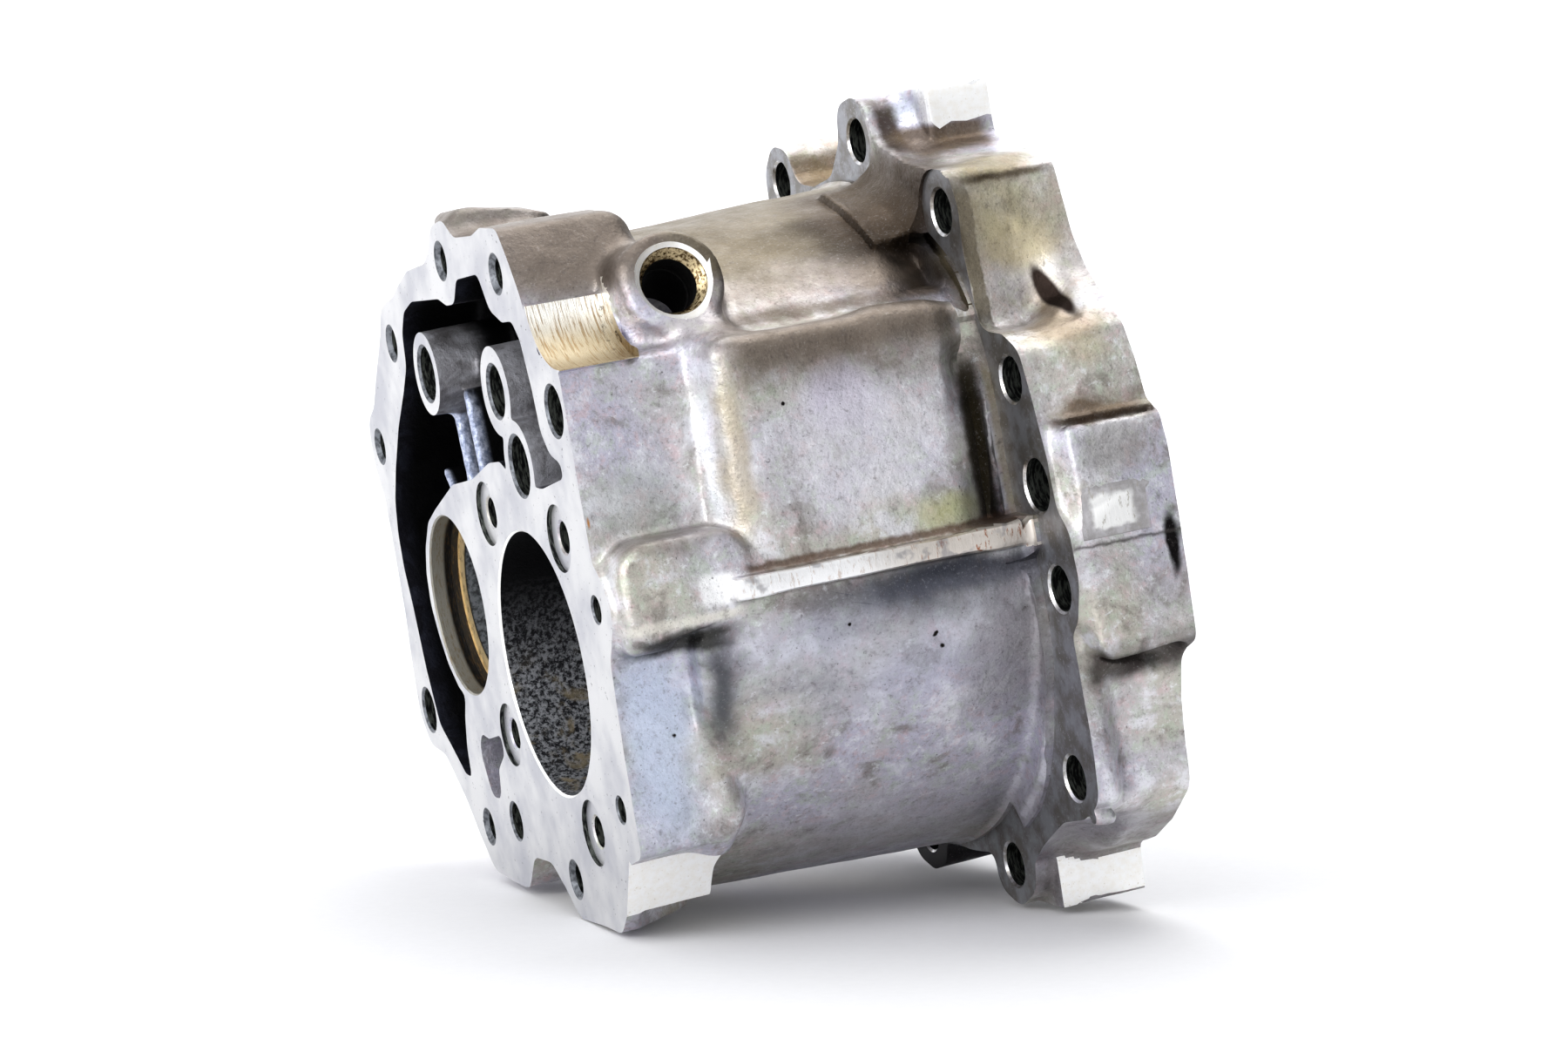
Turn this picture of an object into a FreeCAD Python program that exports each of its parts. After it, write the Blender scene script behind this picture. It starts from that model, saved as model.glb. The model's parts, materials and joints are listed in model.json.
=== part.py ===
import FreeCAD, Part
import math
import os
import Sketcher
from FreeCAD import Vector, Placement, Rotation

# Gearbox housing, one aluminium casting.
# Working axes of the sketches: X runs along the shafts, from the front joint face (X = 0)
# to the rear joint face; Z is up across the face and Y completes the set, with the
# origin on the centre of the main bearing bore.  The finished body is then turned
# about Y by lie_angle, which is how it lies at rest: on the two front lobes and the
# lower rear lug.

doc = FreeCAD.newDocument("gearbox_housing")

# ---------------------------------------------------------------- driving dimensions
sheet = doc.addObject("Spreadsheet::Sheet", "dims")
DIMS = {
    "lie_angle": 9.14,
    # lengths along the shafts
    "front_depth": 37.0, "floor_depth": 24.0, "floor_thick": 6.0,
    "plate_thick": 15.0, "lug_plane": 113.8, "rear_plane": 144.5,
    "lug_step": 124.0,
    # bearing bores
    "main_bore_dia": 72.0, "small_bore_dia": 52.0, "small_seat_dia": 44.0,
    "small_bore_depth": 9.0, "small_bore_y": 75.0, "small_bore_z": 11.4,
    "small_groove_dia": 55.0, "small_groove_at": 4.6, "small_groove_width": 1.9,
    "bore_boss_wall": 7.0, "bore_boss_end": 44.0,
    # barrel
    "barrel_y": 19.0, "barrel_z": 19.0, "barrel_radius_front": 89.6,
    "barrel_radius_rear": 94.6, "wall": 8.6,
    # side panel, ledge, block, lower pad
    "panel_start": 38.5, "panel_end": 99.0, "panel_low": 22.5, "panel_top": 81.0,
    "panel_face": 70.5,
    "ledge_low": 15.2, "ledge_top": 20.6, "ledge_face": 77.0,
    "block_start": 2.6, "block_end": 37.0, "block_low": 11.0, "block_top": 33.5,
    "block_face": 71.5,
    "pad_start": 2.0, "pad_end": 29.0, "pad_low": -51.0, "pad_top": 2.0,
    "pad_face": 61.0,
    # threaded port
    # recess between the panel and the rear lugs
    "recess_start": 99.5, "recess_low": 23.5, "recess_top": 63.0, "recess_floor": 66.0,
    "port_x": 37.4, "port_y": -48.0, "port_z": 96.6, "port_tilt": 17.5,
    "port_boss_dia": 27.0, "port_mouth_dia": 20.4, "port_thread_dia": 18.0,
    "port_hole_dia": 13.2, "port_thread_depth": 12.0,
    # threads of the joint faces
    "face_hole_dia": 8.5, "face_hole_depth": 22.0, "face_mouth_chamfer": 0.8,
    "small_hole_dia": 6.8, "small_hole_depth": 13.0,
    "retainer_hole_dia": 8.5, "retainer_hole_depth": 17.0,
    "retainer_sink_dia": 18.0, "retainer_sink_depth": 1.3,
    "lug_hole_dia": 12.0, "lug_thread_dia": 14.0, "dowel_dia": 13.0,
    "dowel_depth": 20.0, "oil_hole_dia": 10.6,
    # bosses in the front hollow
    "post_j_dia": 24.4, "post_j_hole": 14.0, "post_k_dia": 23.8, "post_k_hole": 15.4,
    "post_i_dia": 24.6, "post_hole_depth": 20.0, "post_i_hole": 16.0,
}
HOLES = {
    "a": (33.1, 109.9), "b": (-16.6, 104.9), "c": (99.2, 87.7), "d": (133.0, 56.6),
    "l": (128.6, -24.1), "p": (82.4, -54.7), "s": (3.0, -59.7), "o": (52.6, -49.5),
    "g": (-55.0, 18.2), "r": (-47.7, -34.5), "e": (-47.3, 69.0),
    "f": (-33.2, 35.6), "h": (29.5, 39.8), "n": (43.6, -23.6), "q": (-20.5, -43.9),
    "j": (1.5, 73.9), "k": (67.0, 78.7), "i": (-8.7, 54.0),
    "lug_one": (62.5, 115.6), "lug_two": (1.8, 124.2), "lug_three": (-47.8, 102.3),
    "lug_four": (-74.9, 57.6), "lug_five": (-80.8, 30.1), "lug_six": (-85.2, 3.2),
    "lug_seven": (-76.8, -47.4), "lug_eight": (-29.2, -76.7), "lug_nine": (28.0, -74.0),
    "lug_ten": (80.6, -62.7), "lug_eleven": (114.0, -20.1), "lug_twelve": (121.5, 33.5),
    "lug_thirteen": (102.3, 82.3),
}
for key, (hy, hz) in HOLES.items():
    DIMS["at_%s_y" % key] = hy
    DIMS["at_%s_z" % key] = hz
for row, (key, value) in enumerate(DIMS.items(), start=1):
    sheet.set("A%d" % row, key)
    sheet.set("B%d" % row, repr(float(value)))
    sheet.setAlias("B%d" % row, key)
doc.recompute()


def dim(key):
    return float(sheet.get(key))


# ---------------------------------------------------------------- the casting's body
body = doc.addObject("PartDesign::Body", "housing")
body.Label = "housing"


def plane(role):
    for feature in body.Origin.OriginFeatures:
        if feature.Role == role:
            return feature
    raise RuntimeError("no plane " + role)


def new_sketch(name, role="YZ_Plane", offset=0.0, offset_key=None, sign=1.0):
    sk = body.newObject("Sketcher::SketchObject", name)
    sk.AttachmentSupport = [(plane(role), "")]
    sk.MapMode = "FlatFace"
    sk.AttachmentOffset = Placement(Vector(0, 0, offset), Rotation())
    if offset_key:
        sk.setExpression(".AttachmentOffset.Base.z",
                         ("dims.%s" if sign > 0 else "-dims.%s") % offset_key)
    return sk


def rounded(points):
    """Lines and tangent arcs of a closed outline of (a, b, corner radius)."""
    n = len(points)
    corner = []
    for i in range(n):
        p0 = Vector(points[i - 1][0], points[i - 1][1], 0)
        p1 = Vector(points[i][0], points[i][1], 0)
        p2 = Vector(points[(i + 1) % n][0], points[(i + 1) % n][1], 0)
        r = points[i][2]
        u, v = (p0 - p1), (p2 - p1)
        lu, lv = u.Length, v.Length
        u.normalize()
        v.normalize()
        ang = math.acos(max(-1.0, min(1.0, u.dot(v))))
        if r <= 0 or ang > math.radians(176):
            corner.append((p1, p1, None))
            continue
        cut = min(r / math.tan(ang / 2), 0.46 * lu, 0.46 * lv)
        rr = cut * math.tan(ang / 2)
        bis = (u + v)
        bis.normalize()
        centre = p1 + bis * (rr / math.sin(ang / 2))
        mid = centre - bis * rr
        corner.append((p1 + u * cut, p1 + v * cut, mid))
    shapes = []
    for i in range(n):
        start, end, mid = corner[i]
        if mid is not None:
            shapes.append(Part.Arc(start, mid, end))
        nxt = corner[(i + 1) % n][0]
        if (nxt - end).Length > 1e-4:
            shapes.append(Part.LineSegment(end, nxt))
    return shapes


def outline(sk, points):
    ids = sk.addGeometry(rounded(points), False)
    sk.addConstraint([Sketcher.Constraint("Block", g) for g in ids])


def circle(sk, key_y, key_z, key_dia, label):
    """A circle whose centre and diameter come from the sheet."""
    g = sk.addGeometry(Part.Circle(Vector(dim(key_y), dim(key_z), 0), Vector(0, 0, 1),
                                   dim(key_dia) / 2), False)
    a = sk.addConstraint(Sketcher.Constraint("DistanceX", -1, 1, g, 3, dim(key_y)))
    b = sk.addConstraint(Sketcher.Constraint("DistanceY", -1, 1, g, 3, dim(key_z)))
    c = sk.addConstraint(Sketcher.Constraint("Diameter", g, dim(key_dia)))
    for idx, part, key in ((a, "y", key_y), (b, "z", key_z), (c, "dia", key_dia)):
        sk.renameConstraint(idx, "%s_%s" % (label, part))
        sk.setExpression(".Constraints.%s_%s" % (label, part), "dims." + key)
    return g


def origin_circle(sk, key_dia, label):
    g = sk.addGeometry(Part.Circle(Vector(0, 0, 0), Vector(0, 0, 1), dim(key_dia) / 2), False)
    sk.addConstraint(Sketcher.Constraint("Coincident", g, 3, -1, 1))
    c = sk.addConstraint(Sketcher.Constraint("Diameter", g, dim(key_dia)))
    sk.renameConstraint(c, label)
    sk.setExpression(".Constraints." + label, "dims." + key_dia)
    return g


def box_sketch(sk, low_a, high_a, low_b, high_b):
    """A rectangle whose four sides come from cells of the sheet."""
    x0, x1, y0, y1 = dim(low_a), dim(high_a), dim(low_b), dim(high_b)
    p = [Vector(x0, y0, 0), Vector(x1, y0, 0), Vector(x1, y1, 0), Vector(x0, y1, 0)]
    ids = sk.addGeometry([Part.LineSegment(p[i], p[(i + 1) % 4]) for i in range(4)], False)
    cons = [Sketcher.Constraint("Coincident", ids[i], 2, ids[(i + 1) % 4], 1) for i in range(4)]
    cons += [Sketcher.Constraint("Horizontal", ids[0]), Sketcher.Constraint("Horizontal", ids[2]),
             Sketcher.Constraint("Vertical", ids[1]), Sketcher.Constraint("Vertical", ids[3])]
    sk.addConstraint(cons)
    for kind, g, pt, key, label in (("DistanceX", ids[0], 1, low_a, "a_low"),
                                    ("DistanceX", ids[1], 1, high_a, "a_high"),
                                    ("DistanceY", ids[0], 1, low_b, "b_low"),
                                    ("DistanceY", ids[2], 1, high_b, "b_high")):
        c = sk.addConstraint(Sketcher.Constraint(kind, -1, 1, g, pt, dim(key)))
        sk.renameConstraint(c, label)
        sk.setExpression(".Constraints." + label, "dims." + key)


def volume():
    doc.recompute()
    return body.Shape.Volume


def pad(name, sk, expression, reverse=False):
    before = body.Shape.Volume if body.Tip else 0.0
    f = body.newObject("PartDesign::Pad", name)
    f.Profile = sk
    f.Type = 0
    f.Length = 10.0
    f.setExpression("Length", expression)
    f.Reversed = reverse
    after = volume()
    if after <= before + 1.0:
        raise RuntimeError("%s adds nothing" % name)
    print("%-22s adds %.0f mm3 %s" % (name, after - before, body.Shape.isValid()))
    return f


def pocket(name, sk, expression, reverse=False, through=False):
    before = body.Shape.Volume
    f = body.newObject("PartDesign::Pocket", name)
    f.Profile = sk
    f.Type = 1 if through else 0
    if not through:
        f.Length = 5.0
        f.setExpression("Length", expression)
    f.Reversed = reverse
    after = volume()
    if after >= before - 1.0:
        raise RuntimeError("%s cuts nothing" % name)
    print("%-22s cuts %.0f mm3 %s" % (name, before - after, body.Shape.isValid()))
    return f


# Outline of the front joint face, seen from the front: near side, underside with the
# two lobes and the notch between them, far side, top.
FRONT = [
    (-22.8, 116.8, 5), (-29.6, 107.3, 8), (-34.4, 98.8, 10), (-37.6, 89.5, 12),
    (-43.2, 82.6, 10), (-50.0, 80.3, 8), (-58.6, 80.3, 3), (-59.3, 60.0, 30),
    (-60.2, 42.0, 20), (-61.2, 29.5, 6), (-66.6, 19.4, 3), (-66.0, 14.5, 4),
    (-59.3, 4.6, 10), (-58.3, -20.0, 30), (-58.4, -46.0, 3), (-47.2, -49.2, 3),
    (-38.6, -62.6, 4), (-31.0, -69.6, 7), (-12.0, -70.0, 12), (5.0, -70.6, 9),
    (14.0, -63.6, 9), (24.0, -57.6, 9), (40.0, -58.2, 9), (50.0, -68.6, 7),
    (66.0, -68.9, 12), (84.0, -67.9, 12), (94.5, -57.5, 9), (103.0, -48.0, 14),
    (118.0, -37.0, 10), (133.0, -35.4, 9), (139.6, -26.0, 9), (139.4, -12.0, 12),
    (137.2, 6.0, 20), (138.0, 40.0, 10), (143.6, 52.0, 9), (142.6, 64.0, 9),
    (132.5, 68.6, 9), (121.5, 79.8, 10), (110.5, 90.5, 9), (104.4, 98.5, 9),
    (90.0, 100.8, 8), (81.0, 104.6, 8), (70.0, 108.2, 8), (50.0, 109.6, 8),
    (43.4, 113.5, 6), (37.0, 119.6, 8), (26.0, 120.6, 8), (16.5, 115.6, 8),
    (0.0, 115.6, 8), (-9.0, 117.6, 6),
]
# Edge of the dark hollow in the joint face.
HOLLOW = [
    (85.8, 90.4, 7), (80.0, 96.6, 6), (70.0, 99.4, 8), (42.1, 99.6, 6),
    (34.7, 97.6, 6), (27.0, 97.8, 6), (21.0, 104.4, 4), (0.4, 105.4, 4),
    (-5.6, 95.6, 7), (-14.9, 92.2, 5), (-23.5, 92.4, 4), (-28.2, 87.4, 5),
    (-31.6, 74.0, 14), (-32.9, 63.5, 6), (-37.6, 57.8, 6), (-45.6, 55.4, 3),
    (-45.6, 51.6, 2), (-26.3, 48.4, 10), (-3.0, 49.2, 4), (8.6, 54.8, 5),
    (19.4, 54.2, 14), (37.9, 49.2, 14), (59.6, 47.0, 14), (82.3, 39.2, 14),
    (92.6, 35.0, 8), (100.4, 27.0, 9), (104.4, 19.0, 9), (105.2, 9.6, 9),
    (102.0, 1.0, 9), (97.0, -7.4, 9), (90.0, -13.6, 5), (84.4, -16.0, 2),
    (88.8, -23.2, 8), (92.0, -32.0, 6), (92.6, -41.0, 1.5), (98.4, -40.6, 4),
    (109.1, -33.4, 9), (118.4, -27.6, 6), (123.4, -11.2, 14), (126.6, 8.8, 12),
    (129.3, 19.5, 12), (129.3, 30.0, 12), (126.2, 40.1, 14), (119.1, 50.1, 14),
    (107.8, 62.7, 14), (95.0, 73.4, 12), (87.4, 80.8, 7),
]
# Outline of the rear flange at the plane of the lug faces.
REAR = [
    (14.6, 124.4, 8), (12.4, 134.2, 9), (2.0, 136.0, 9), (-9.0, 134.2, 9),
    (-12.0, 123.0, 8), (-30.0, 116.6, 14), (-44.0, 114.0, 6), (-55.0, 112.6, 5),
    (-58.6, 103.0, 8), (-57.6, 92.0, 14), (-59.8, 79.0, 8), (-60.4, 70.4, 5),
    (-74.0, 69.6, 8), (-82.6, 65.0, 8), (-86.2, 52.0, 12), (-89.8, 36.0, 12),
    (-91.0, 24.0, 5), (-96.0, 18.4, 6), (-97.6, 6.0, 10), (-93.4, -5.0, 6),
    (-88.8, -8.6, 5), (-89.6, -20.0, 14), (-90.8, -40.0, 14), (-89.6, -53.0, 8),
    (-79.3, -58.2, 8), (-66.0, -60.4, 9), (-50.0, -69.0, 9), (-43.2, -74.0, 4),
    (-41.6, -82.0, 8), (-30.0, -88.6, 9), (-18.0, -84.6, 9), (-16.6, -75.0, 4),
    (0.0, -76.0, 12), (15.6, -75.5, 4), (18.4, -83.0, 7), (28.0, -85.4, 8),
    (38.0, -83.0, 8), (43.0, -74.0, 6),
    (63.8, -64.1, 8), (74.0, -70.9, 8), (84.0, -73.8, 8), (90.3, -69.0, 8),
    (90.3, -58.6, 8), (86.6, -46.9, 8), (100.0, -29.7, 8), (112.3, -30.4, 8),
    (122.4, -28.0, 8), (125.5, -20.6, 8), (120.3, -11.7, 8), (111.2, -3.4, 8),
    (114.2, 18.2, 8), (125.2, 23.7, 8), (132.7, 30.9, 8), (131.8, 38.8, 8),
    (122.8, 44.0, 8), (110.7, 46.6, 8), (103.4, 65.4, 8), (110.3, 75.5, 8),
    (113.4, 85.4, 8), (108.7, 91.9, 8), (98.4, 92.0, 8), (86.6, 88.5, 8),
    (76.5, 100.0, 8),
    (75.0, 110.0, 8), (74.4, 119.0, 8), (66.0, 127.0, 8),
    (55.0, 125.0, 8), (50.4, 115.0, 8), (38.0, 113.0, 12), (24.0, 115.4, 8),
]
# The near humps behind the lug faces stand at these outlines, drafted towards the rear.
REAR_END = [
    (14.6, 122.0, 8), (12.4, 134.2, 9), (2.0, 135.8, 5), (-19.0, 135.0, 2),
    (-22.0, 121.0, 5), (-32.0, 116.4, 14), (-46.0, 114.4, 6), (-55.0, 111.0, 5),
    (-57.6, 101.5, 8), (-60.0, 92.0, 14), (-65.6, 82.0, 8), (-74.0, 73.6, 8),
    (-81.4, 67.4, 6), (-85.2, 59.0, 8), (-88.8, 47.4, 3), (-94.6, 44.2, 4),
    (-96.8, 36.0, 12), (-97.4, 20.0, 12), (-97.6, 4.0, 12), (-97.2, -14.8, 4),
    (-86.8, -20.6, 5), (-83.0, -32.0, 12), (-81.6, -44.0, 12), (-81.0, -55.0, 7),
    (-67.4, -66.0, 9), (-56.0, -72.0, 7), (-45.5, -75.0, 3),
    (-44.4, -87.6, 2), (-30.0, -88.6, 6), (-18.0, -84.6, 9), (-16.6, -75.0, 4),
    (0.0, -76.0, 12), (15.6, -75.5, 4), (18.4, -83.0, 7), (28.0, -85.4, 8),
    (38.0, -83.0, 8), (43.0, -74.0, 6),
    (63.8, -64.1, 8), (74.0, -70.9, 8), (84.0, -73.8, 8), (90.3, -69.0, 8),
    (90.3, -58.6, 8), (86.6, -46.9, 8), (100.0, -29.7, 8), (112.3, -30.4, 8),
    (122.4, -28.0, 8), (125.5, -20.6, 8), (120.3, -11.7, 8), (111.2, -3.4, 8),
    (114.2, 18.2, 8), (125.2, 23.7, 8), (132.7, 30.9, 8), (131.8, 38.8, 8),
    (122.8, 44.0, 8), (110.7, 46.6, 8), (103.4, 65.4, 8), (110.3, 75.5, 8),
    (113.4, 85.4, 8), (108.7, 91.9, 8), (98.4, 92.0, 8), (86.6, 88.5, 8),
    (76.5, 100.0, 8),
    (75.0, 110.0, 8), (74.4, 119.0, 8), (66.0, 127.0, 8),
    (55.0, 125.0, 8), (50.4, 115.0, 8), (38.0, 113.0, 12), (24.0, 115.4, 8),
]

# Front case: the joint face and everything down to the back of the hollow.
sk = new_sketch("front_outline")
outline(sk, FRONT)
pad("front_case", sk, "dims.front_depth")

# Barrel: a drafted round body from the front case to the rear flange.
sk = new_sketch("barrel_profile", "XZ_Plane", -dim("barrel_y"), "barrel_y", -1.0)
cz = dim("barrel_z")
xs, xe = dim("plate_thick") + 8.0, dim("lug_plane") + 10.0
rs, re_ = dim("barrel_radius_front"), dim("barrel_radius_rear")
corners = [Vector(xs, cz, 0), Vector(xs, cz + rs, 0), Vector(xe, cz + re_, 0), Vector(xe, cz, 0)]
ids = sk.addGeometry([Part.LineSegment(corners[i], corners[(i + 1) % 4]) for i in range(4)], False)
sk.addConstraint([Sketcher.Constraint("Coincident", ids[i], 2, ids[(i + 1) % 4], 1) for i in range(4)])
sk.addConstraint([Sketcher.Constraint("Vertical", ids[0]), Sketcher.Constraint("Vertical", ids[2]),
                  Sketcher.Constraint("Horizontal", ids[3])])
for kind, first, fp, second, sp, value, label, expr in (
        ("DistanceX", -1, 1, ids[0], 1, xs, "barrel_start", "dims.plate_thick + 8"),
        ("DistanceX", -1, 1, ids[2], 2, xe, "barrel_stop", "dims.lug_plane + 10"),
        ("DistanceY", -1, 1, ids[0], 1, cz, "barrel_axis", "dims.barrel_z"),
        ("DistanceY", ids[0], 1, ids[0], 2, rs, "radius_front", "dims.barrel_radius_front"),
        ("DistanceY", ids[2], 2, ids[2], 1, re_, "radius_rear", "dims.barrel_radius_rear")):
    c = sk.addConstraint(Sketcher.Constraint(kind, first, fp, second, sp, value))
    sk.renameConstraint(c, label)
    sk.setExpression(".Constraints." + label, expr)
axis_line = sk.addGeometry(Part.LineSegment(Vector(xs - 5, cz, 0), Vector(xe + 5, cz, 0)), True)
sk.addConstraint(Sketcher.Constraint("Block", axis_line))
doc.recompute()
before = volume()
barrel = body.newObject("PartDesign::Revolution", "barrel")
barrel.Profile = sk
barrel.ReferenceAxis = (sk, ["Axis0"])
barrel.Angle = 360.0
if volume() <= before + 1000:
    raise RuntimeError("the barrel adds nothing")

# Rear flange with its lugs, drafted from the lug faces to the rear joint face.
sk_lug = new_sketch("rear_outline_front", "YZ_Plane", dim("lug_plane"), "lug_plane")
outline(sk_lug, REAR)
pad("rear_flange_front", sk_lug, "dims.lug_step - dims.lug_plane")
sk_end = new_sketch("rear_outline_back", "YZ_Plane", dim("rear_plane"), "rear_plane")
outline(sk_end, REAR_END)
pad("rear_flange_back", sk_end, "dims.rear_plane - dims.lug_step", reverse=True)

# Side panel, machined ledge, block behind the front edge, lower pad.
sk = new_sketch("panel_sketch", "XZ_Plane")
box_sketch(sk, "panel_start", "panel_end", "panel_low", "panel_top")
pad("side_panel", sk, "dims.panel_face")
sk = new_sketch("ledge_sketch", "XZ_Plane")
box_sketch(sk, "block_end", "lug_plane", "ledge_low", "ledge_top")
pad("machined_ledge", sk, "dims.ledge_face")
sk = new_sketch("block_sketch", "XZ_Plane")
box_sketch(sk, "block_start", "block_end", "block_low", "block_top")
pad("side_block", sk, "dims.block_face")
sk = new_sketch("pad_sketch", "XZ_Plane")
box_sketch(sk, "pad_start", "pad_end", "pad_low", "pad_top")
pad("lower_pad", sk, "dims.pad_face")

# Round boss of the threaded port, on the near shoulder of the barrel.
sk = body.newObject("Sketcher::SketchObject", "port_sketch")
sk.AttachmentSupport = [(plane("XZ_Plane"), "")]
sk.MapMode = "FlatFace"
tilt = dim("port_tilt")
# local frame of the plane: a = X, b = Z, c = -Y
sk.AttachmentOffset = Placement(Vector(dim("port_x"), dim("port_z"), -dim("port_y")),
                                Rotation(Vector(1, 0, 0), -tilt))
sk.setExpression(".AttachmentOffset.Base.x", "dims.port_x")
sk.setExpression(".AttachmentOffset.Base.y", "dims.port_z")
sk.setExpression(".AttachmentOffset.Base.z", "-dims.port_y")
origin_circle(sk, "port_boss_dia", "port_boss")
doc.recompute()
pad("port_boss", sk, "46", reverse=True)

# Recess between the panel and the rear lugs.
sk = new_sketch("lug_recess_sketch", "XZ_Plane", dim("recess_floor"), "recess_floor")
box_sketch(sk, "recess_start", "lug_plane", "recess_low", "recess_top")
pocket("lug_recess", sk, "20", reverse=True)

# ---------------------------------------------------------------- hollows
# Front hollow, down to the floor that carries the posts.
sk = new_sketch("hollow_outline")
outline(sk, HOLLOW)
pocket("front_hollow", sk, "dims.floor_depth", reverse=True)

# Rear space for the gears, with the floor and the bearing walls left standing.
sk = new_sketch("rear_space_sketch", "YZ_Plane", dim("rear_plane"), "rear_plane")
g = sk.addGeometry(Part.Circle(Vector(dim("barrel_y"), dim("barrel_z"), 0), Vector(0, 0, 1),
                               dim("barrel_radius_front") - dim("wall")), False)
for kind, value, label, expr in (("DistanceX", dim("barrel_y"), "space_y", "dims.barrel_y"),
                                 ("DistanceY", dim("barrel_z"), "space_z", "dims.barrel_z")):
    c = sk.addConstraint(Sketcher.Constraint(kind, -1, 1, g, 3, value))
    sk.renameConstraint(c, label)
    sk.setExpression(".Constraints." + label, expr)
c = sk.addConstraint(Sketcher.Constraint("Radius", g, dim("barrel_radius_front") - dim("wall")))
sk.renameConstraint(c, "space_radius")
sk.setExpression(".Constraints.space_radius", "dims.barrel_radius_front - dims.wall")
pocket("rear_space", sk, "dims.rear_plane - dims.floor_depth - dims.floor_thick")

# Space behind the joint plate, around the bearing walls.
BEHIND = [
    (-50.0, 44.0, 6), (-52.0, 20.0, 20), (-51.0, -26.0, 10), (-40.0, -40.0, 10),
    (-22.0, -55.0, 8), (20.0, -49.0, 10), (40.0, -49.0, 6), (45.0, -56.6, 4),
    (61.0, -56.6, 4), (67.0, -50.5, 4), (79.0, -47.5, 5),
    (83.5, -22.0, 5), (58.0, -20.0, 8), (46.0, 8.0, 8), (60.0, 40.0, 8), (20.0, 44.0, 10),
    (-30.0, 42.0, 6),
]
sk = new_sketch("behind_plate_sketch", "YZ_Plane", dim("floor_depth") + dim("floor_thick") + 1.0)
sk.setExpression(".AttachmentOffset.Base.z", "dims.floor_depth + dims.floor_thick + 1")
outline(sk, BEHIND)
pocket("behind_plate", sk, "dims.floor_depth + dims.floor_thick + 1 - dims.plate_thick")

# Bearing wall of the main bore, standing back from the plate.
sk = new_sketch("main_wall_sketch")
g = sk.addGeometry(Part.Circle(Vector(0, 0, 0), Vector(0, 0, 1),
                               dim("main_bore_dia") / 2 + dim("bore_boss_wall")), False)
sk.addConstraint(Sketcher.Constraint("Coincident", g, 3, -1, 1))
c = sk.addConstraint(Sketcher.Constraint("Radius", g, dim("main_bore_dia") / 2 + dim("bore_boss_wall")))
sk.renameConstraint(c, "wall_radius")
sk.setExpression(".Constraints.wall_radius", "dims.main_bore_dia / 2 + dims.bore_boss_wall")
pad("main_bearing_wall", sk, "dims.bore_boss_end")

# Posts and webs in the front hollow.
sk = new_sketch("post_sketch")
circle(sk, "at_j_y", "at_j_z", "post_j_dia", "post_j")
circle(sk, "at_k_y", "at_k_z", "post_k_dia", "post_k")
pad("posts", sk, "dims.floor_depth + 2")
sk = new_sketch("post_i_sketch")
circle(sk, "at_i_y", "at_i_z", "post_i_dia", "post_i")
pad("post_i", sk, "dims.floor_depth + 2")
for name, pts, top in (("web_one", [(69.6, 70.0), (65.8, 70.0), (61.5, 42.0), (65.6, 42.0)], 4.0),
                       ("web_two", [(52.8, 72.0), (48.8, 72.0), (43.6, 44.0), (47.8, 44.0)], 4.0),
                       ("web_three", [(96.6, 46.5), (94.0, 49.5), (80.0, 36.0), (84.0, 33.0)], 8.0),
                       ("web_four", [(74.0, 82.0), (9.0, 78.0), (9.0, 74.0), (74.0, 77.0)], 12.0)):
    sk = new_sketch(name + "_sketch", "YZ_Plane", dim("floor_depth") + 2.0)
    sk.setExpression(".AttachmentOffset.Base.z", "dims.floor_depth + 2")
    outline(sk, [(a, b, 0) for a, b in pts])
    pad(name, sk, "dims.floor_depth + 2 - %g" % top, reverse=True)

# ---------------------------------------------------------------- machining
# Main bearing bore, right through its wall.
sk = new_sketch("main_bore_sketch")
origin_circle(sk, "main_bore_dia", "main_bore")
pocket("main_bore", sk, "dims.bore_boss_end + 1", reverse=True)

# Small bearing bore with a shoulder, a snap ring groove and a passage to the rear.
sk = new_sketch("small_bore_sketch")
circle(sk, "small_bore_y", "small_bore_z", "small_bore_dia", "small_bore")
pocket("small_bore", sk, "dims.small_bore_depth", reverse=True)
sk = new_sketch("small_seat_sketch")
circle(sk, "small_bore_y", "small_bore_z", "small_seat_dia", "small_seat")
pocket("small_seat", sk, "dims.bore_boss_end + 4", reverse=True)
sk = new_sketch("small_groove_sketch", "YZ_Plane", dim("small_groove_at"), "small_groove_at")
circle(sk, "small_bore_y", "small_bore_z", "small_groove_dia", "groove")
pocket("small_groove", sk, "dims.small_groove_width", reverse=True)

# Threaded holes of the front joint face.
sk = new_sketch("face_hole_sketch")
for key in ("a", "b", "c", "d", "p", "s"):
    circle(sk, "at_%s_y" % key, "at_%s_z" % key, "face_hole_dia", "hole_" + key)
pocket("face_holes", sk, "dims.face_hole_depth", reverse=True)
sk = new_sketch("small_hole_sketch")
for key in ("g", "r"):
    circle(sk, "at_%s_y" % key, "at_%s_z" % key, "small_hole_dia", "hole_" + key)
pocket("small_holes", sk, "dims.small_hole_depth", reverse=True)
sk = new_sketch("retainer_sink_sketch")
for key in ("f", "h", "n", "q"):
    circle(sk, "at_%s_y" % key, "at_%s_z" % key, "retainer_sink_dia", "sink_" + key)
pocket("retainer_sinks", sk, "dims.retainer_sink_depth", reverse=True)
sk = new_sketch("retainer_hole_sketch")
for key in ("f", "h", "n", "q"):
    circle(sk, "at_%s_y" % key, "at_%s_z" % key, "retainer_hole_dia", "retainer_" + key)
pocket("retainer_holes", sk, "dims.retainer_hole_depth", reverse=True)
sk = new_sketch("dowel_sketch")
circle(sk, "at_e_y", "at_e_z", "dowel_dia", "dowel_e")
circle(sk, "at_l_y", "at_l_z", "dowel_dia", "dowel_l")
pocket("dowel_holes", sk, "dims.dowel_depth", reverse=True)
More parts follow.
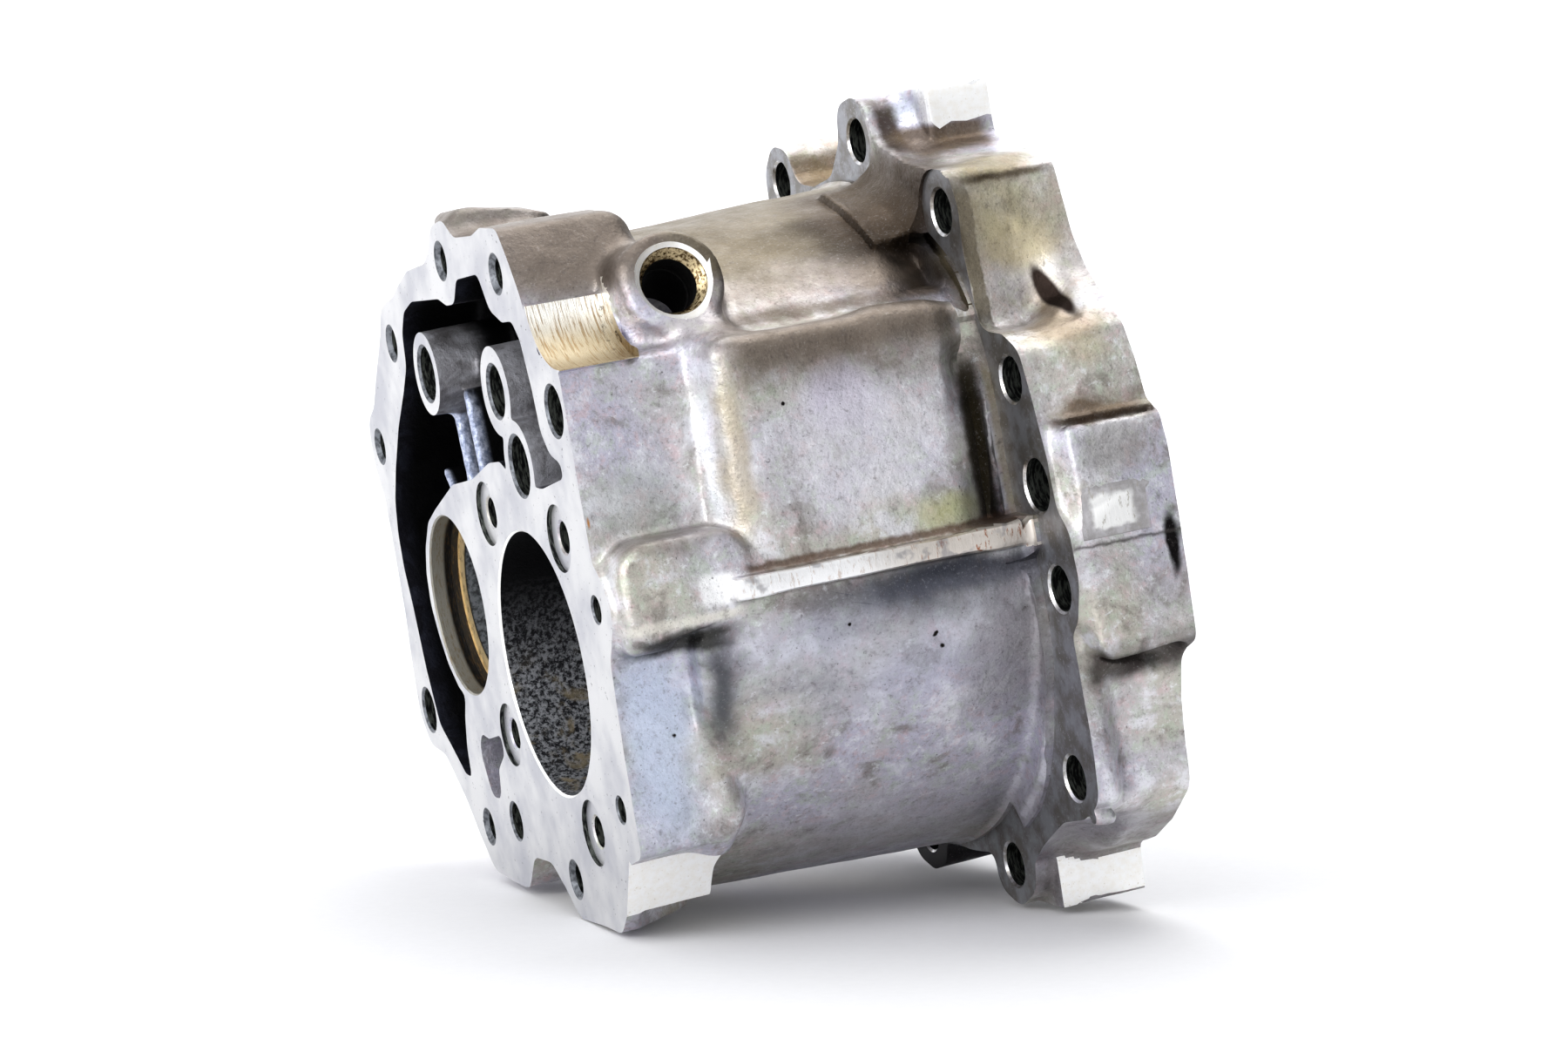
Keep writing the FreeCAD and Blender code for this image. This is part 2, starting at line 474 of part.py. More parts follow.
sk = new_sketch("oil_hole_sketch")
circle(sk, "at_o_y", "at_o_z", "oil_hole_dia", "oil_hole")
pocket("oil_hole", sk, "dims.plate_thick + 6", reverse=True)
sk = new_sketch("post_hole_sketch")
circle(sk, "at_j_y", "at_j_z", "post_j_hole", "post_hole_j")
circle(sk, "at_k_y", "at_k_z", "post_k_hole", "post_hole_k")
circle(sk, "at_i_y", "at_i_z", "post_i_hole", "post_hole_i")
pocket("post_holes", sk, "dims.post_hole_depth", reverse=True)
# Keyhole-shaped oil opening in the plate.
sk = new_sketch("oil_slot_sketch")
outline(sk, [(78.0, -32.0, 6), (74.0, -26.0, 5), (66.5, -27.0, 4), (53.5, -24.6, 2.5),
             (53.5, -30.4, 2.5), (61.5, -35.4, 3), (64.0, -44.4, 4.5), (72.6, -44.6, 4.5)])
pocket("oil_slot", sk, "dims.plate_thick + 5", reverse=True)

# Through holes of the rear lugs.
sk = new_sketch("lug_hole_sketch", "YZ_Plane", dim("lug_plane") - 6.0)
sk.setExpression(".AttachmentOffset.Base.z", "dims.lug_plane - 6")
for key in ("one", "two", "three", "four", "six", "eight", "nine", "ten", "eleven",
            "twelve", "thirteen"):
    circle(sk, "at_lug_%s_y" % key, "at_lug_%s_z" % key, "lug_hole_dia", "lug_" + key)
pocket("lug_holes", sk, "dims.rear_plane - dims.lug_plane + 16", reverse=True)
sk = new_sketch("lug_thread_sketch", "YZ_Plane", dim("lug_plane") - 6.0)
sk.setExpression(".AttachmentOffset.Base.z", "dims.lug_plane - 6")
circle(sk, "at_lug_five_y", "at_lug_five_z", "lug_thread_dia", "lug_five")
pocket("lug_thread", sk, "26", reverse=True)
sk = new_sketch("blind_lug_sketch", "YZ_Plane", dim("lug_plane") - 6.0)
sk.setExpression(".AttachmentOffset.Base.z", "dims.lug_plane - 6")
circle(sk, "at_lug_seven_y", "at_lug_seven_z", "lug_hole_dia", "lug_seven")
pocket("blind_lug_hole", sk, "20", reverse=True)

# Threaded port: chamfered mouth, thread and the smaller hole into the casing.
def port_cut(name, key_dia, expression):
    s = body.newObject("Sketcher::SketchObject", name + "_sketch")
    s.AttachmentSupport = [(plane("XZ_Plane"), "")]
    s.MapMode = "FlatFace"
    s.AttachmentOffset = Placement(Vector(dim("port_x"), dim("port_z"), -dim("port_y")),
                                   Rotation(Vector(1, 0, 0), -tilt))
    s.setExpression(".AttachmentOffset.Base.x", "dims.port_x")
    s.setExpression(".AttachmentOffset.Base.y", "dims.port_z")
    s.setExpression(".AttachmentOffset.Base.z", "-dims.port_y")
    origin_circle(s, key_dia, name + "_dia")
    doc.recompute()
    pocket(name, s, expression)


port_cut("port_thread", "port_thread_dia", "dims.port_thread_depth")
port_cut("port_hole", "port_hole_dia", "48")

# Chamfers at the mouths of the threads and bores.
def mouths(feature, test):
    names = []
    for index, edge in enumerate(feature.Shape.Edges, start=1):
        curve = edge.Curve
        if curve.TypeId == "Part::GeomCircle" and test(curve.Center, curve.Radius, edge):
            names.append("Edge%d" % index)
    return names


tip = body.Tip
chosen = mouths(tip, lambda c, r, e: abs(c.x) < 1e-3 and abs(e.Length - 2 * math.pi * r) < 1e-3
                and r < 5.0)
chosen += mouths(tip, lambda c, r, e: abs(c.x - dim("lug_plane")) < 1e-3
                 and abs(e.Length - 2 * math.pi * r) < 1e-3 and 5.9 < r < 7.2)
cham = body.newObject("PartDesign::Chamfer", "mouth_chamfers")
cham.Base = (tip, chosen)
cham.Size = 0.8
cham.setExpression("Size", "dims.face_mouth_chamfer")
doc.recompute()
print("chamfered mouths:", len(chosen))

# How the casting lies at rest.
body.Placement = Placement(Vector(0, 0, 0), Rotation(Vector(0, 1, 0), -dim("lie_angle")))
body.setExpression(".Placement.Rotation.Angle", "-dims.lie_angle")
doc.recompute()

# ---------------------------------------------------------------- tests and files
for obj in doc.Objects:
    if "Invalid" in obj.State or "Error" in obj.State:
        raise RuntimeError("%s failed: %s" % (obj.Name, obj.State))
parts = [body]
os.makedirs("parts", exist_ok=True)
for part in parts:
    shape = part.Shape
    if shape.isNull() or not shape.isValid():
        raise RuntimeError("%s has no valid shape" % part.Label)
    if len(shape.Solids) != 1:
        raise RuntimeError("%s is %d solids" % (part.Label, len(shape.Solids)))
    box = shape.BoundBox
    print("%s: %d solid, %.0f mm3, box X %.1f..%.1f Y %.1f..%.1f Z %.1f..%.1f, centre %s" % (
        part.Label, len(shape.Solids), shape.Volume, box.XMin, box.XMax, box.YMin, box.YMax,
        box.ZMin, box.ZMax, shape.Solids[0].CenterOfMass))
    shape.exportStep("parts/%s.step" % part.Label)
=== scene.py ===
import json
import math
import bpy
import bmesh
import numpy as np
from mathutils import Matrix, Vector

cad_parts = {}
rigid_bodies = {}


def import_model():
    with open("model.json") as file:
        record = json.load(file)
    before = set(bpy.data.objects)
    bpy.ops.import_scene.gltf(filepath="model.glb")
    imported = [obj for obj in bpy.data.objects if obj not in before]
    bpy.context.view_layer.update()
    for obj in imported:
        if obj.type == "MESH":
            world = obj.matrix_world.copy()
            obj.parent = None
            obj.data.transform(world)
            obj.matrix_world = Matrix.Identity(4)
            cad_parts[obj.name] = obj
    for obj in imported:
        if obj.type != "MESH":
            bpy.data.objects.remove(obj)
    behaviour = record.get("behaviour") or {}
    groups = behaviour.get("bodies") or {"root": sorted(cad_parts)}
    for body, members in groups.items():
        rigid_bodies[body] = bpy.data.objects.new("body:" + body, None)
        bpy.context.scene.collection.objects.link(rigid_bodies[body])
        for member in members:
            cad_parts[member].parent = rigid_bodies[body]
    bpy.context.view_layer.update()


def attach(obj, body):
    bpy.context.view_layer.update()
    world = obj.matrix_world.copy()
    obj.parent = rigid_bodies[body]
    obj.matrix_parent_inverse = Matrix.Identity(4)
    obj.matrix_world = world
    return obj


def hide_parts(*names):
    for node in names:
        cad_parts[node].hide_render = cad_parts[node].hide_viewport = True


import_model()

# ---------------------------------------------------------------- working axes
# The casting is shaped in millimetres in the working axes of its drawing: X along the
# shafts from the front joint face, Z up across the face, origin on the main bore. It is
# then turned by TAU about Y, which is how it lies, and scaled to metres.
TAU = math.radians(9.14)
ST, CT = math.sin(TAU), math.cos(TAU)


def to_row(p):
    p = np.asarray(p, float)
    return np.stack([p[..., 0] * CT - p[..., 2] * ST, p[..., 1],
                     p[..., 0] * ST + p[..., 2] * CT], -1) * 0.001


def to_work(p):
    p = np.asarray(p, float) * 1000.0
    return np.stack([p[..., 0] * CT + p[..., 2] * ST, p[..., 1],
                     -p[..., 0] * ST + p[..., 2] * CT], -1)


ROW = Matrix(((CT, 0, -ST, 0), (0, 1, 0, 0), (ST, 0, CT, 0), (0, 0, 0, 1)))

FRONT = [
    (-22.8, 116.8, 5), (-29.6, 107.3, 8), (-34.4, 98.8, 10), (-37.6, 89.5, 12),
    (-43.2, 82.6, 10), (-50.0, 80.3, 8), (-58.6, 80.3, 3), (-59.3, 60.0, 30),
    (-60.2, 42.0, 20), (-61.2, 29.5, 6), (-66.6, 19.4, 3), (-66.0, 14.5, 4),
    (-59.3, 4.6, 10), (-58.3, -20.0, 30), (-58.4, -46.0, 3), (-47.2, -49.2, 3),
    (-38.6, -62.6, 4), (-31.0, -69.6, 7), (-12.0, -70.0, 12), (5.0, -70.6, 9),
    (14.0, -63.6, 9), (24.0, -57.6, 9), (40.0, -58.2, 9), (50.0, -68.6, 7),
    (66.0, -68.9, 12), (84.0, -67.9, 12), (94.5, -57.5, 9), (103.0, -48.0, 14),
    (118.0, -37.0, 10), (133.0, -35.4, 9), (139.6, -26.0, 9), (139.4, -12.0, 12),
    (137.2, 6.0, 20), (138.0, 40.0, 10), (143.6, 52.0, 9), (142.6, 64.0, 9),
    (132.5, 68.6, 9), (121.5, 79.8, 10), (110.5, 90.5, 9), (104.4, 98.5, 9),
    (90.0, 100.8, 8), (81.0, 104.6, 8), (70.0, 108.2, 8), (50.0, 109.6, 8),
    (43.4, 113.5, 6), (37.0, 119.6, 8), (26.0, 120.6, 8), (16.5, 115.6, 8),
    (0.0, 115.6, 8), (-9.0, 117.6, 6),
]
HOLLOW = [
    (85.8, 90.4, 7), (80.0, 96.6, 6), (70.0, 99.4, 8), (42.1, 99.6, 6),
    (34.7, 97.6, 6), (27.0, 97.8, 6), (21.0, 104.4, 4), (0.4, 105.4, 4),
    (-5.6, 95.6, 7), (-14.9, 92.2, 5), (-23.5, 92.4, 4), (-28.2, 87.4, 5),
    (-31.6, 74.0, 14), (-32.9, 63.5, 6), (-37.6, 57.8, 6), (-45.6, 55.4, 3),
    (-45.6, 51.6, 2), (-26.3, 48.4, 10), (-3.0, 49.2, 4), (8.6, 54.8, 5),
    (19.4, 54.2, 14), (37.9, 49.2, 14), (59.6, 47.0, 14), (82.3, 39.2, 14),
    (92.6, 35.0, 8), (100.4, 27.0, 9), (104.4, 19.0, 9), (105.2, 9.6, 9),
    (102.0, 1.0, 9), (97.0, -7.4, 9), (90.0, -13.6, 5), (84.4, -16.0, 2),
    (88.8, -23.2, 8), (92.0, -32.0, 6), (92.6, -41.0, 1.5), (98.4, -40.6, 4),
    (109.1, -33.4, 9), (118.4, -27.6, 6), (123.4, -11.2, 14), (126.6, 8.8, 12),
    (129.3, 19.5, 12), (129.3, 30.0, 12), (126.2, 40.1, 14), (119.1, 50.1, 14),
    (107.8, 62.7, 14), (95.0, 73.4, 12), (87.4, 80.8, 7),
]
FAR_SIDE = [
    (0.0, -76.0, 12), (15.6, -75.5, 4), (18.4, -83.0, 7), (28.0, -85.4, 8),
    (38.0, -83.0, 8), (43.0, -74.0, 6),
    (63.8, -64.1, 8), (74.0, -70.9, 8), (84.0, -73.8, 8), (90.3, -69.0, 8),
    (90.3, -58.6, 8), (86.6, -46.9, 8), (100.0, -29.7, 8), (112.3, -30.4, 8),
    (122.4, -28.0, 8), (125.5, -20.6, 8), (120.3, -11.7, 8), (111.2, -3.4, 8),
    (114.2, 18.2, 8), (125.2, 23.7, 8), (132.7, 30.9, 8), (131.8, 38.8, 8),
    (122.8, 44.0, 8), (110.7, 46.6, 8), (103.4, 65.4, 8), (110.3, 75.5, 8),
    (113.4, 85.4, 8), (108.7, 91.9, 8), (98.4, 92.0, 8), (86.6, 88.5, 8),
    (76.5, 100.0, 8), (75.0, 110.0, 8), (74.4, 119.0, 8), (66.0, 127.0, 8),
    (55.0, 125.0, 8), (50.4, 115.0, 8), (38.0, 113.0, 12), (24.0, 115.4, 8),
]
REAR = [
    (14.6, 124.4, 8), (12.4, 134.2, 9), (2.0, 136.0, 9), (-9.0, 134.2, 9),
    (-12.0, 123.0, 8), (-30.0, 116.6, 14), (-44.0, 114.0, 6), (-55.0, 112.6, 5),
    (-58.6, 103.0, 8), (-57.6, 92.0, 14), (-59.8, 79.0, 8), (-60.4, 70.4, 5),
    (-74.0, 69.6, 8), (-82.6, 65.0, 8), (-86.2, 52.0, 12), (-89.8, 36.0, 12),
    (-91.0, 24.0, 5), (-96.0, 18.4, 6), (-97.6, 6.0, 10), (-93.4, -5.0, 6),
    (-88.8, -8.6, 5), (-89.6, -20.0, 14), (-90.8, -40.0, 14), (-89.6, -53.0, 8),
    (-79.3, -58.2, 8), (-66.0, -60.4, 9), (-50.0, -69.0, 9), (-43.2, -74.0, 4),
    (-41.6, -82.0, 8), (-30.0, -88.6, 9), (-18.0, -84.6, 9), (-16.6, -75.0, 4),
] + FAR_SIDE
REAR_END = [
    (14.6, 122.0, 8), (12.4, 134.2, 9), (2.0, 135.8, 5), (-19.0, 135.0, 2),
    (-22.0, 121.0, 5), (-32.0, 116.4, 14), (-46.0, 114.4, 6), (-55.0, 111.0, 5),
    (-57.6, 101.5, 8), (-60.0, 92.0, 14), (-65.6, 82.0, 8), (-74.0, 73.6, 8),
    (-81.4, 67.4, 6), (-85.2, 59.0, 8), (-88.8, 47.4, 3), (-94.6, 44.2, 4),
    (-96.8, 36.0, 12), (-97.4, 20.0, 12), (-97.6, 4.0, 12), (-97.2, -14.8, 4),
    (-86.8, -20.6, 5), (-83.0, -32.0, 12), (-81.6, -44.0, 12), (-81.0, -55.0, 7),
    (-67.4, -66.0, 9), (-56.0, -72.0, 7), (-45.5, -75.0, 3),
    (-44.4, -87.6, 2), (-30.0, -88.6, 6), (-18.0, -84.6, 9), (-16.6, -75.0, 4),
] + FAR_SIDE
BEHIND = [
    (-50.0, 44.0, 6), (-52.0, 20.0, 20), (-51.0, -26.0, 10), (-40.0, -40.0, 10),
    (-22.0, -55.0, 8), (20.0, -49.0, 10), (40.0, -49.0, 6), (45.0, -56.6, 4),
    (61.0, -56.6, 4), (67.0, -50.5, 4), (79.0, -47.5, 5),
    (83.5, -22.0, 5), (58.0, -20.0, 8), (46.0, 8.0, 8), (60.0, 40.0, 8), (20.0, 44.0, 10),
    (-30.0, 42.0, 6),
]
HOLES = {
    "a": (33.1, 109.9), "b": (-16.6, 104.9), "c": (99.2, 87.7), "d": (133.0, 56.6),
    "l": (128.6, -24.1), "p": (82.4, -54.7), "s": (3.0, -59.7), "o": (52.6, -49.5),
    "g": (-55.0, 18.2), "r": (-47.7, -34.5), "e": (-47.3, 69.0),
    "f": (-33.2, 35.6), "h": (29.5, 39.8), "n": (43.6, -23.6), "q": (-20.5, -43.9),
    "j": (1.5, 73.9), "k": (67.0, 78.7), "i": (-8.7, 54.0),
    "one": (62.5, 115.6), "two": (1.8, 124.2), "three": (-47.8, 102.3),
    "four": (-74.9, 57.6), "five": (-80.8, 30.1), "six": (-85.2, 3.2),
    "seven": (-76.8, -47.4), "eight": (-29.2, -76.7), "nine": (28.0, -74.0),
    "ten": (80.6, -62.7), "eleven": (114.0, -20.1), "twelve": (121.5, 33.5),
    "thirteen": (102.3, 82.3),
}
LUG, REARX = 113.8, 144.5
CY, CZ = 19.0, 19.0


def rounded(points, step=0.9):
    """Closed outline of (a, b, corner radius) as a dense polygon."""
    pts = [np.array(p[:2], float) for p in points]
    out = []
    n = len(pts)
    for i in range(n):
        p0, p1, p2, r = pts[i - 1], pts[i], pts[(i + 1) % n], points[i][2]
        u, v = p0 - p1, p2 - p1
        lu, lv = np.linalg.norm(u), np.linalg.norm(v)
        u, v = u / lu, v / lv
        ang = math.acos(max(-1.0, min(1.0, float(u @ v))))
        if r <= 0 or ang > math.radians(176):
            out.append(p1)
            continue
        cut = min(r / math.tan(ang / 2), 0.46 * lu, 0.46 * lv)
        rr = cut * math.tan(ang / 2)
        bis = (u + v) / np.linalg.norm(u + v)
        c = p1 + bis * (rr / math.sin(ang / 2))
        a0, a1 = p1 + u * cut - c, p1 + v * cut - c
        t0 = math.atan2(a0[1], a0[0])
        dt = (math.atan2(a1[1], a1[0]) - t0 + math.pi) % (2 * math.pi) - math.pi
        k = max(2, int(abs(dt) * rr / step) + 1)
        for j in range(k + 1):
            t = t0 + dt * j / k
            out.append(c + rr * np.array([math.cos(t), math.sin(t)]))
    return np.array(out)


# ---------------------------------------------------------------- distance field
VOX = 0.85
LO = np.array([-5.0, -103.0, -94.0])
HI = np.array([150.0, 149.0, 141.0])
AX = [np.arange(LO[i], HI[i], VOX).astype(np.float32) for i in range(3)]
F = np.full([len(a) for a in AX], 50.0, np.float32)


def part_of(lo, hi, margin):
    s = []
    for i in range(3):
        a = int(np.searchsorted(AX[i], lo[i] - margin))
        b = int(np.searchsorted(AX[i], hi[i] + margin))
        s.append(slice(max(a, 0), max(b, 0)))
    return tuple(s)


def axes_of(s):
    return AX[0][s[0]][:, None, None], AX[1][s[1]][None, :, None], AX[2][s[2]][None, None, :]


def smin(a, b, k):
    if k <= 0:
        return np.minimum(a, b)
    h = np.clip(0.5 + 0.5 * (b - a) / k, 0, 1)
    return b + (a - b) * h - k * h * (1 - h)


def add(fn, lo, hi, k=3.0):
    s = part_of(lo, hi, k + 3)
    F[s] = smin(F[s], fn(*axes_of(s)).astype(np.float32), k)


def cut(fn, lo, hi, k=2.0):
    s = part_of(lo, hi, k + 3)
    F[s] = -smin(-F[s], fn(*axes_of(s)).astype(np.float32), k)


def outline_distance(points):
    """Signed distance in the Y-Z plane to an outline, on the grid."""
    p = rounded(points, 1.6)
    y, z = AX[1][:, None], AX[2][None, :]
    d2 = np.full((len(AX[1]), len(AX[2])), 1e9, np.float32)
    inside = np.zeros(d2.shape, bool)
    for i in range(len(p)):
        a, b = p[i - 1], p[i]
        ey, ez = b[0] - a[0], b[1] - a[1]
        wy, wz = y - a[0], z - a[1]
        t = np.clip((wy * ey + wz * ez) / max(ey * ey + ez * ez, 1e-9), 0, 1)
        d2 = np.minimum(d2, (wy - ey * t) ** 2 + (wz - ez * t) ** 2)
        cross = ((a[1] > z) != (b[1] > z)) & (y < (b[0] - a[0]) * (z - a[1])
                                              / (b[1] - a[1] + 1e-12) + a[0])
        inside ^= cross
    d = np.sqrt(d2)
    return np.where(inside, -d, d).astype(np.float32)


def extrude(d2, x, x0, x1, r):
    """Distance of an outline run from x0 to x1, its edges rounded by r."""
    c, h = (x0 + x1) / 2, (x1 - x0) / 2
    qx, qd = np.abs(x - c) - h + r, d2 + r
    return (np.minimum(np.maximum(qx, qd), 0)
            + np.sqrt(np.maximum(qx, 0) ** 2 + np.maximum(qd, 0) ** 2) - r)


def rbox(x, y, z, lo, hi, r):
    q = []
    for v, a, b in ((x, lo[0], hi[0]), (y, lo[1], hi[1]), (z, lo[2], hi[2])):
        q.append(np.abs(v - (a + b) / 2) - (b - a) / 2 + r)
    return (np.minimum(np.maximum(np.maximum(q[0], q[1]), q[2]), 0)
            + np.sqrt(sum(np.maximum(v, 0) ** 2 for v in q)) - r)


def rod(x, y, z, a, b, ra, rb=None, flat=False, r=0.0):
    """A rod or cone from a to b, with round or flat ends."""
    rb = ra if rb is None else rb
    a, b = np.asarray(a, float), np.asarray(b, float)
    d = b - a
    length = np.linalg.norm(d)
    d = d / length
    wx, wy, wz = x - a[0], y - a[1], z - a[2]
    t = wx * d[0] + wy * d[1] + wz * d[2]
    if flat:
        perp = np.sqrt(np.maximum(wx ** 2 + wy ** 2 + wz ** 2 - t ** 2, 0))
        rad = ra + (rb - ra) * np.clip(t / length, 0, 1)
        qx, qd = np.abs(t - length / 2) - length / 2 + r, perp - rad + r
        return (np.minimum(np.maximum(qx, qd), 0)
                + np.sqrt(np.maximum(qx, 0) ** 2 + np.maximum(qd, 0) ** 2) - r)
    tc = np.clip(t, 0, length)
    rad = ra + (rb - ra) * tc / length
    return np.sqrt((wx - d[0] * tc) ** 2 + (wy - d[1] * tc) ** 2
                   + (wz - d[2] * tc) ** 2) - rad


def ramp(v, a, b):
    t = np.clip((v - a) / (b - a), 0, 1)
    return t * t * (3 - 2 * t)


D_FRONT, D_HOLLOW = outline_distance(FRONT), outline_distance(HOLLOW)
D_REAR, D_END = outline_distance(REAR), outline_distance(REAR_END)
D_BEHIND = outline_distance(BEHIND)


def of_grid(d2, s):
    return d2[s[1], s[2]][None, :, :]


# Front case: how far back it runs depends on the height on the near side.
s = part_of((-6, -103, -94), (45, 149, 141), 0)
x, y, z = axes_of(s)
zt = np.array([-75, -62.4, -61.2, -58, -50, -46, -39, -31, -23, -14, -2, 4, 10, 30, 60, 141], np.float32)
xt = np.array([4.5, 4.5, 22.5, 23.5, 24.5, 26.5, 29.5, 27.8, 22.5, 19.5, 19.5, 22, 30, 33, 37, 37], np.float32)
back = np.interp(AX[2][s[2]], zt, xt).astype(np.float32)[None, None, :]
near = ramp(y, -12.0, -34.0)
far = 29.0 + 8.5 * ramp(z, 86.0, 96.0) * (1 - ramp(y, 6.0, 14.0)) - 4.0 * ramp(-z, 40, 60)
back = back * near + far * (1 - near)
d = of_grid(D_FRONT, s)
rr = 3.0 + 5.5 * ramp(z, 92.0, 106.0) - 2.0 * ramp(-z, 42.0, 50.0)
qx, qd = x - back + rr, d + rr
case = (np.minimum(np.maximum(qx, qd), 0)
        + np.sqrt(np.maximum(qx, 0) ** 2 + np.maximum(qd, 0) ** 2) - rr)
case = np.maximum(case, d + 0.0)
F[s] = np.minimum(F[s], case.astype(np.float32))
# Raised pad on the far upper corner boss.
add(lambda x, y, z: np.maximum(rbox(x, y, z, (2.0, 22, 100), (30.0, 43, 123.0), 3.0),
                                0.97 * (z - 122.6) + 0.22 * (x - 10.0)),
    (2, 22, 100), (31, 43, 123), 4.0)


# Barrel.
def barrel(x, y, z, start=23.0, r=5.0):
    perp = np.sqrt((y - CY) ** 2 + (z - CZ) ** 2)
    rad = 89.6 + 5.0 * (x - 23.0) / 100.8
    qx, qd = start - x + r, (perp - rad) + r
    return (np.minimum(np.maximum(np.maximum(qx, qd), x - 130), 0)
            + np.sqrt(np.maximum(qx, 0) ** 2 + np.maximum(qd, 0) ** 2) - r)


s = part_of((15, -103, -94), (131, 149, 141), 0)
x, y, z = axes_of(s)
b = np.maximum(barrel(x, y, z, 25.0 - 4.5 * ramp(-z, -16.0, -5.0)), x - 130)
F[s] = smin(F[s], b.astype(np.float32), 5.0)

# Raised side panel and its corner towards the lugs.
add(lambda x, y, z: rbox(x, y, z, (33.0, -70.8, 19), (101.0, -30, 80.6), 5.5),
    (36, -71, 19), (102, -30, 81), 4.0)
add(lambda x, y, z: rod(x, y, z, (84, -63.5, 74.4), (106, -62.5, 73.0), 6.8, 6.4),
    (75, -72, 62), (116, -50, 84), 5.0)
# Front section between the joint face and the panel: a broad flat, lower than the barrel.
cut(lambda x, y, z: np.maximum(np.maximum(
        0.92 * (x - 31.4) + 0.40 * (y + 59.3), y + 59.3),
        np.maximum(np.abs(z - 55.2) - 24.2, -14 - x)),
    (-6, -100, 31), (38, -59, 80), 9.0)
# Ramps down to the lug plane, either side of the panel's corner.
cut(lambda x, y, z: np.maximum(np.maximum((x - 112.6), np.abs(z - 42.5) - 20.5),
                               0.80 * (y + 70.6) - 0.60 * (x - 100.5)),
    (99, -80, 20), (113, -58, 66), 3.0)
cut(lambda x, y, z: np.maximum(
        np.maximum(x - 112.8, np.abs(z - 93.0) - 9.5),
        0.84 * (np.sqrt((y - CY) ** 2 + (z - CZ) ** 2) * -1.0 + 93.6) * -1.0 * -1.0
        - 0.54 * (x - 99.5)),
    (98, -62, 80), (113, -24, 106), 3.0)

# Rear flange: lofted from the lug faces to the rear joint face.
s = part_of((LUG, -103, -94), (REARX + 4, 149, 141), 6)
x, y, z = axes_of(s)
zk = np.array([-94, -56, -50, -20, -13, 40, 46, 52, 64, 72, 76, 98, 106, 141], np.float32)
ta = np.array([5, 5, 3, 3, 1, 1, 1.5, 4, 5, 12, 15, 13, 5, 5], np.float32)
tb = np.array([18, 18, 14, 12, 4.5, 4.5, 6, 16, 18, 24, 26, 25, 18, 18], np.float32)
t0 = np.interp(AX[2][s[2]], zk, ta).astype(np.float32)[None, None, :] + LUG
t1 = np.interp(AX[2][s[2]], zk, tb).astype(np.float32)[None, None, :] + LUG
t = np.clip((x - t0) / (t1 - t0), 0, 1)
t = t * t * (3 - 2 * t) * (y < 20) + ramp(x, LUG + 5.0, LUG + 19.0) * (y >= 20)
d = of_grid(D_REAR, s) * (1 - t) + of_grid(D_END, s) * t
fl = extrude(d, x, LUG - 1.1, REARX + 8, 0.3)
F[s] = smin(F[s], fl.astype(np.float32), 3.0)

# Broad fillet between the barrel and the flange, from the top lug to the next.
def fillet(x, y, z):
    perp = np.sqrt((y - CY) ** 2 + (z - CZ) ** 2)
    ang = np.degrees(np.arctan2(z - CZ, y - CY))
    q = np.maximum(LUG + 4 - x, 0)
    return np.maximum(np.maximum(perp - (95.0 + 0.030 * np.maximum(18.0 - q, 0) ** 2), x - LUG - 6),
                      np.abs(ang - 114.5) * 1.6 - 17.0 + (x < 98) * 50)


add(fillet, (98, -50, 95), (LUG + 6, 6, 126), 4.0)
# Squared ends of the upper and the lower lug behind their faces.
add(lambda x, y, z: rbox(x, y, z, (125.5, -22.0, 117.0), (REARX + 8, 4.0, 135.6), 0.6),
    (125, -22, 117), (REARX + 8, 4, 136), 1.0)
add(lambda x, y, z: rbox(x, y, z, (119.5, -44.4, -88.2), (REARX + 8, -24.0, -72.0), 0.6),
    (119, -45, -89), (REARX + 8, -24, -72), 1.0)
# Hollows between the lug humps.
cut(lambda x, y, z: rod(x, y, z, (128.5, -58.5, 96.0), (132.6, -77.0, 76.4), 1.2, 6.6),
    (123, -86, 66), (141, -53, 98), 1.2)
cut(lambda x, y, z: rod(x, y, z, (121.0, -91.5, -14.5), (138.0, -90.5, -18.0), 2.0, 5.2),
    (116, -98, -26), (144, -83, -8), 3.0)
cut(lambda x, y, z: rod(x, y, z, (115.0, -91.0, 45.3), (143.0, -92.0, 44.6), 0.9, 1.1),
    (113, -94, 42), (145, -88, 48), 1.5)
cut(lambda x, y, z: rod(x, y, z, (118.0, -58.6, 107.6), (143.0, -57.6, 108.6), 0.6, 0.9),
    (116, -61, 105), (145, -55, 111), 1.0)
# Raised lip where the barrel meets the lug faces.
lip = [(-61.0, 66.0), (-62.1, 58.9), (-63.4, 47.4), (-63.8, 33.6), (-66.0, 24.1), (-74.0, 14.5),
       (-74.6, 4.3), (-75.4, -2.8), (-75.6, -9.8), (-76.0, -16.5), (-73.5, -26.0),
       (-64.8, -40.8), (-58.8, -48.4), (-44.1, -59.6)]
for (ya, za), (yb, zb) in zip(lip, lip[1:]):
    add(lambda x, y, z: rod(x, y, z, (112.6, ya, za), (112.6, yb, zb), 1.7),
        (110, min(ya, yb) - 2, min(za, zb) - 2), (115, max(ya, yb) + 2, max(za, zb) + 2), 1.2)
add(lambda x, y, z: rod(x, y, z, (115.0, -84.6, -57.0), (118.0, -84.8, -57.6), 2.3),
    (112, -88, -61), (121, -81, -54), 1.0)

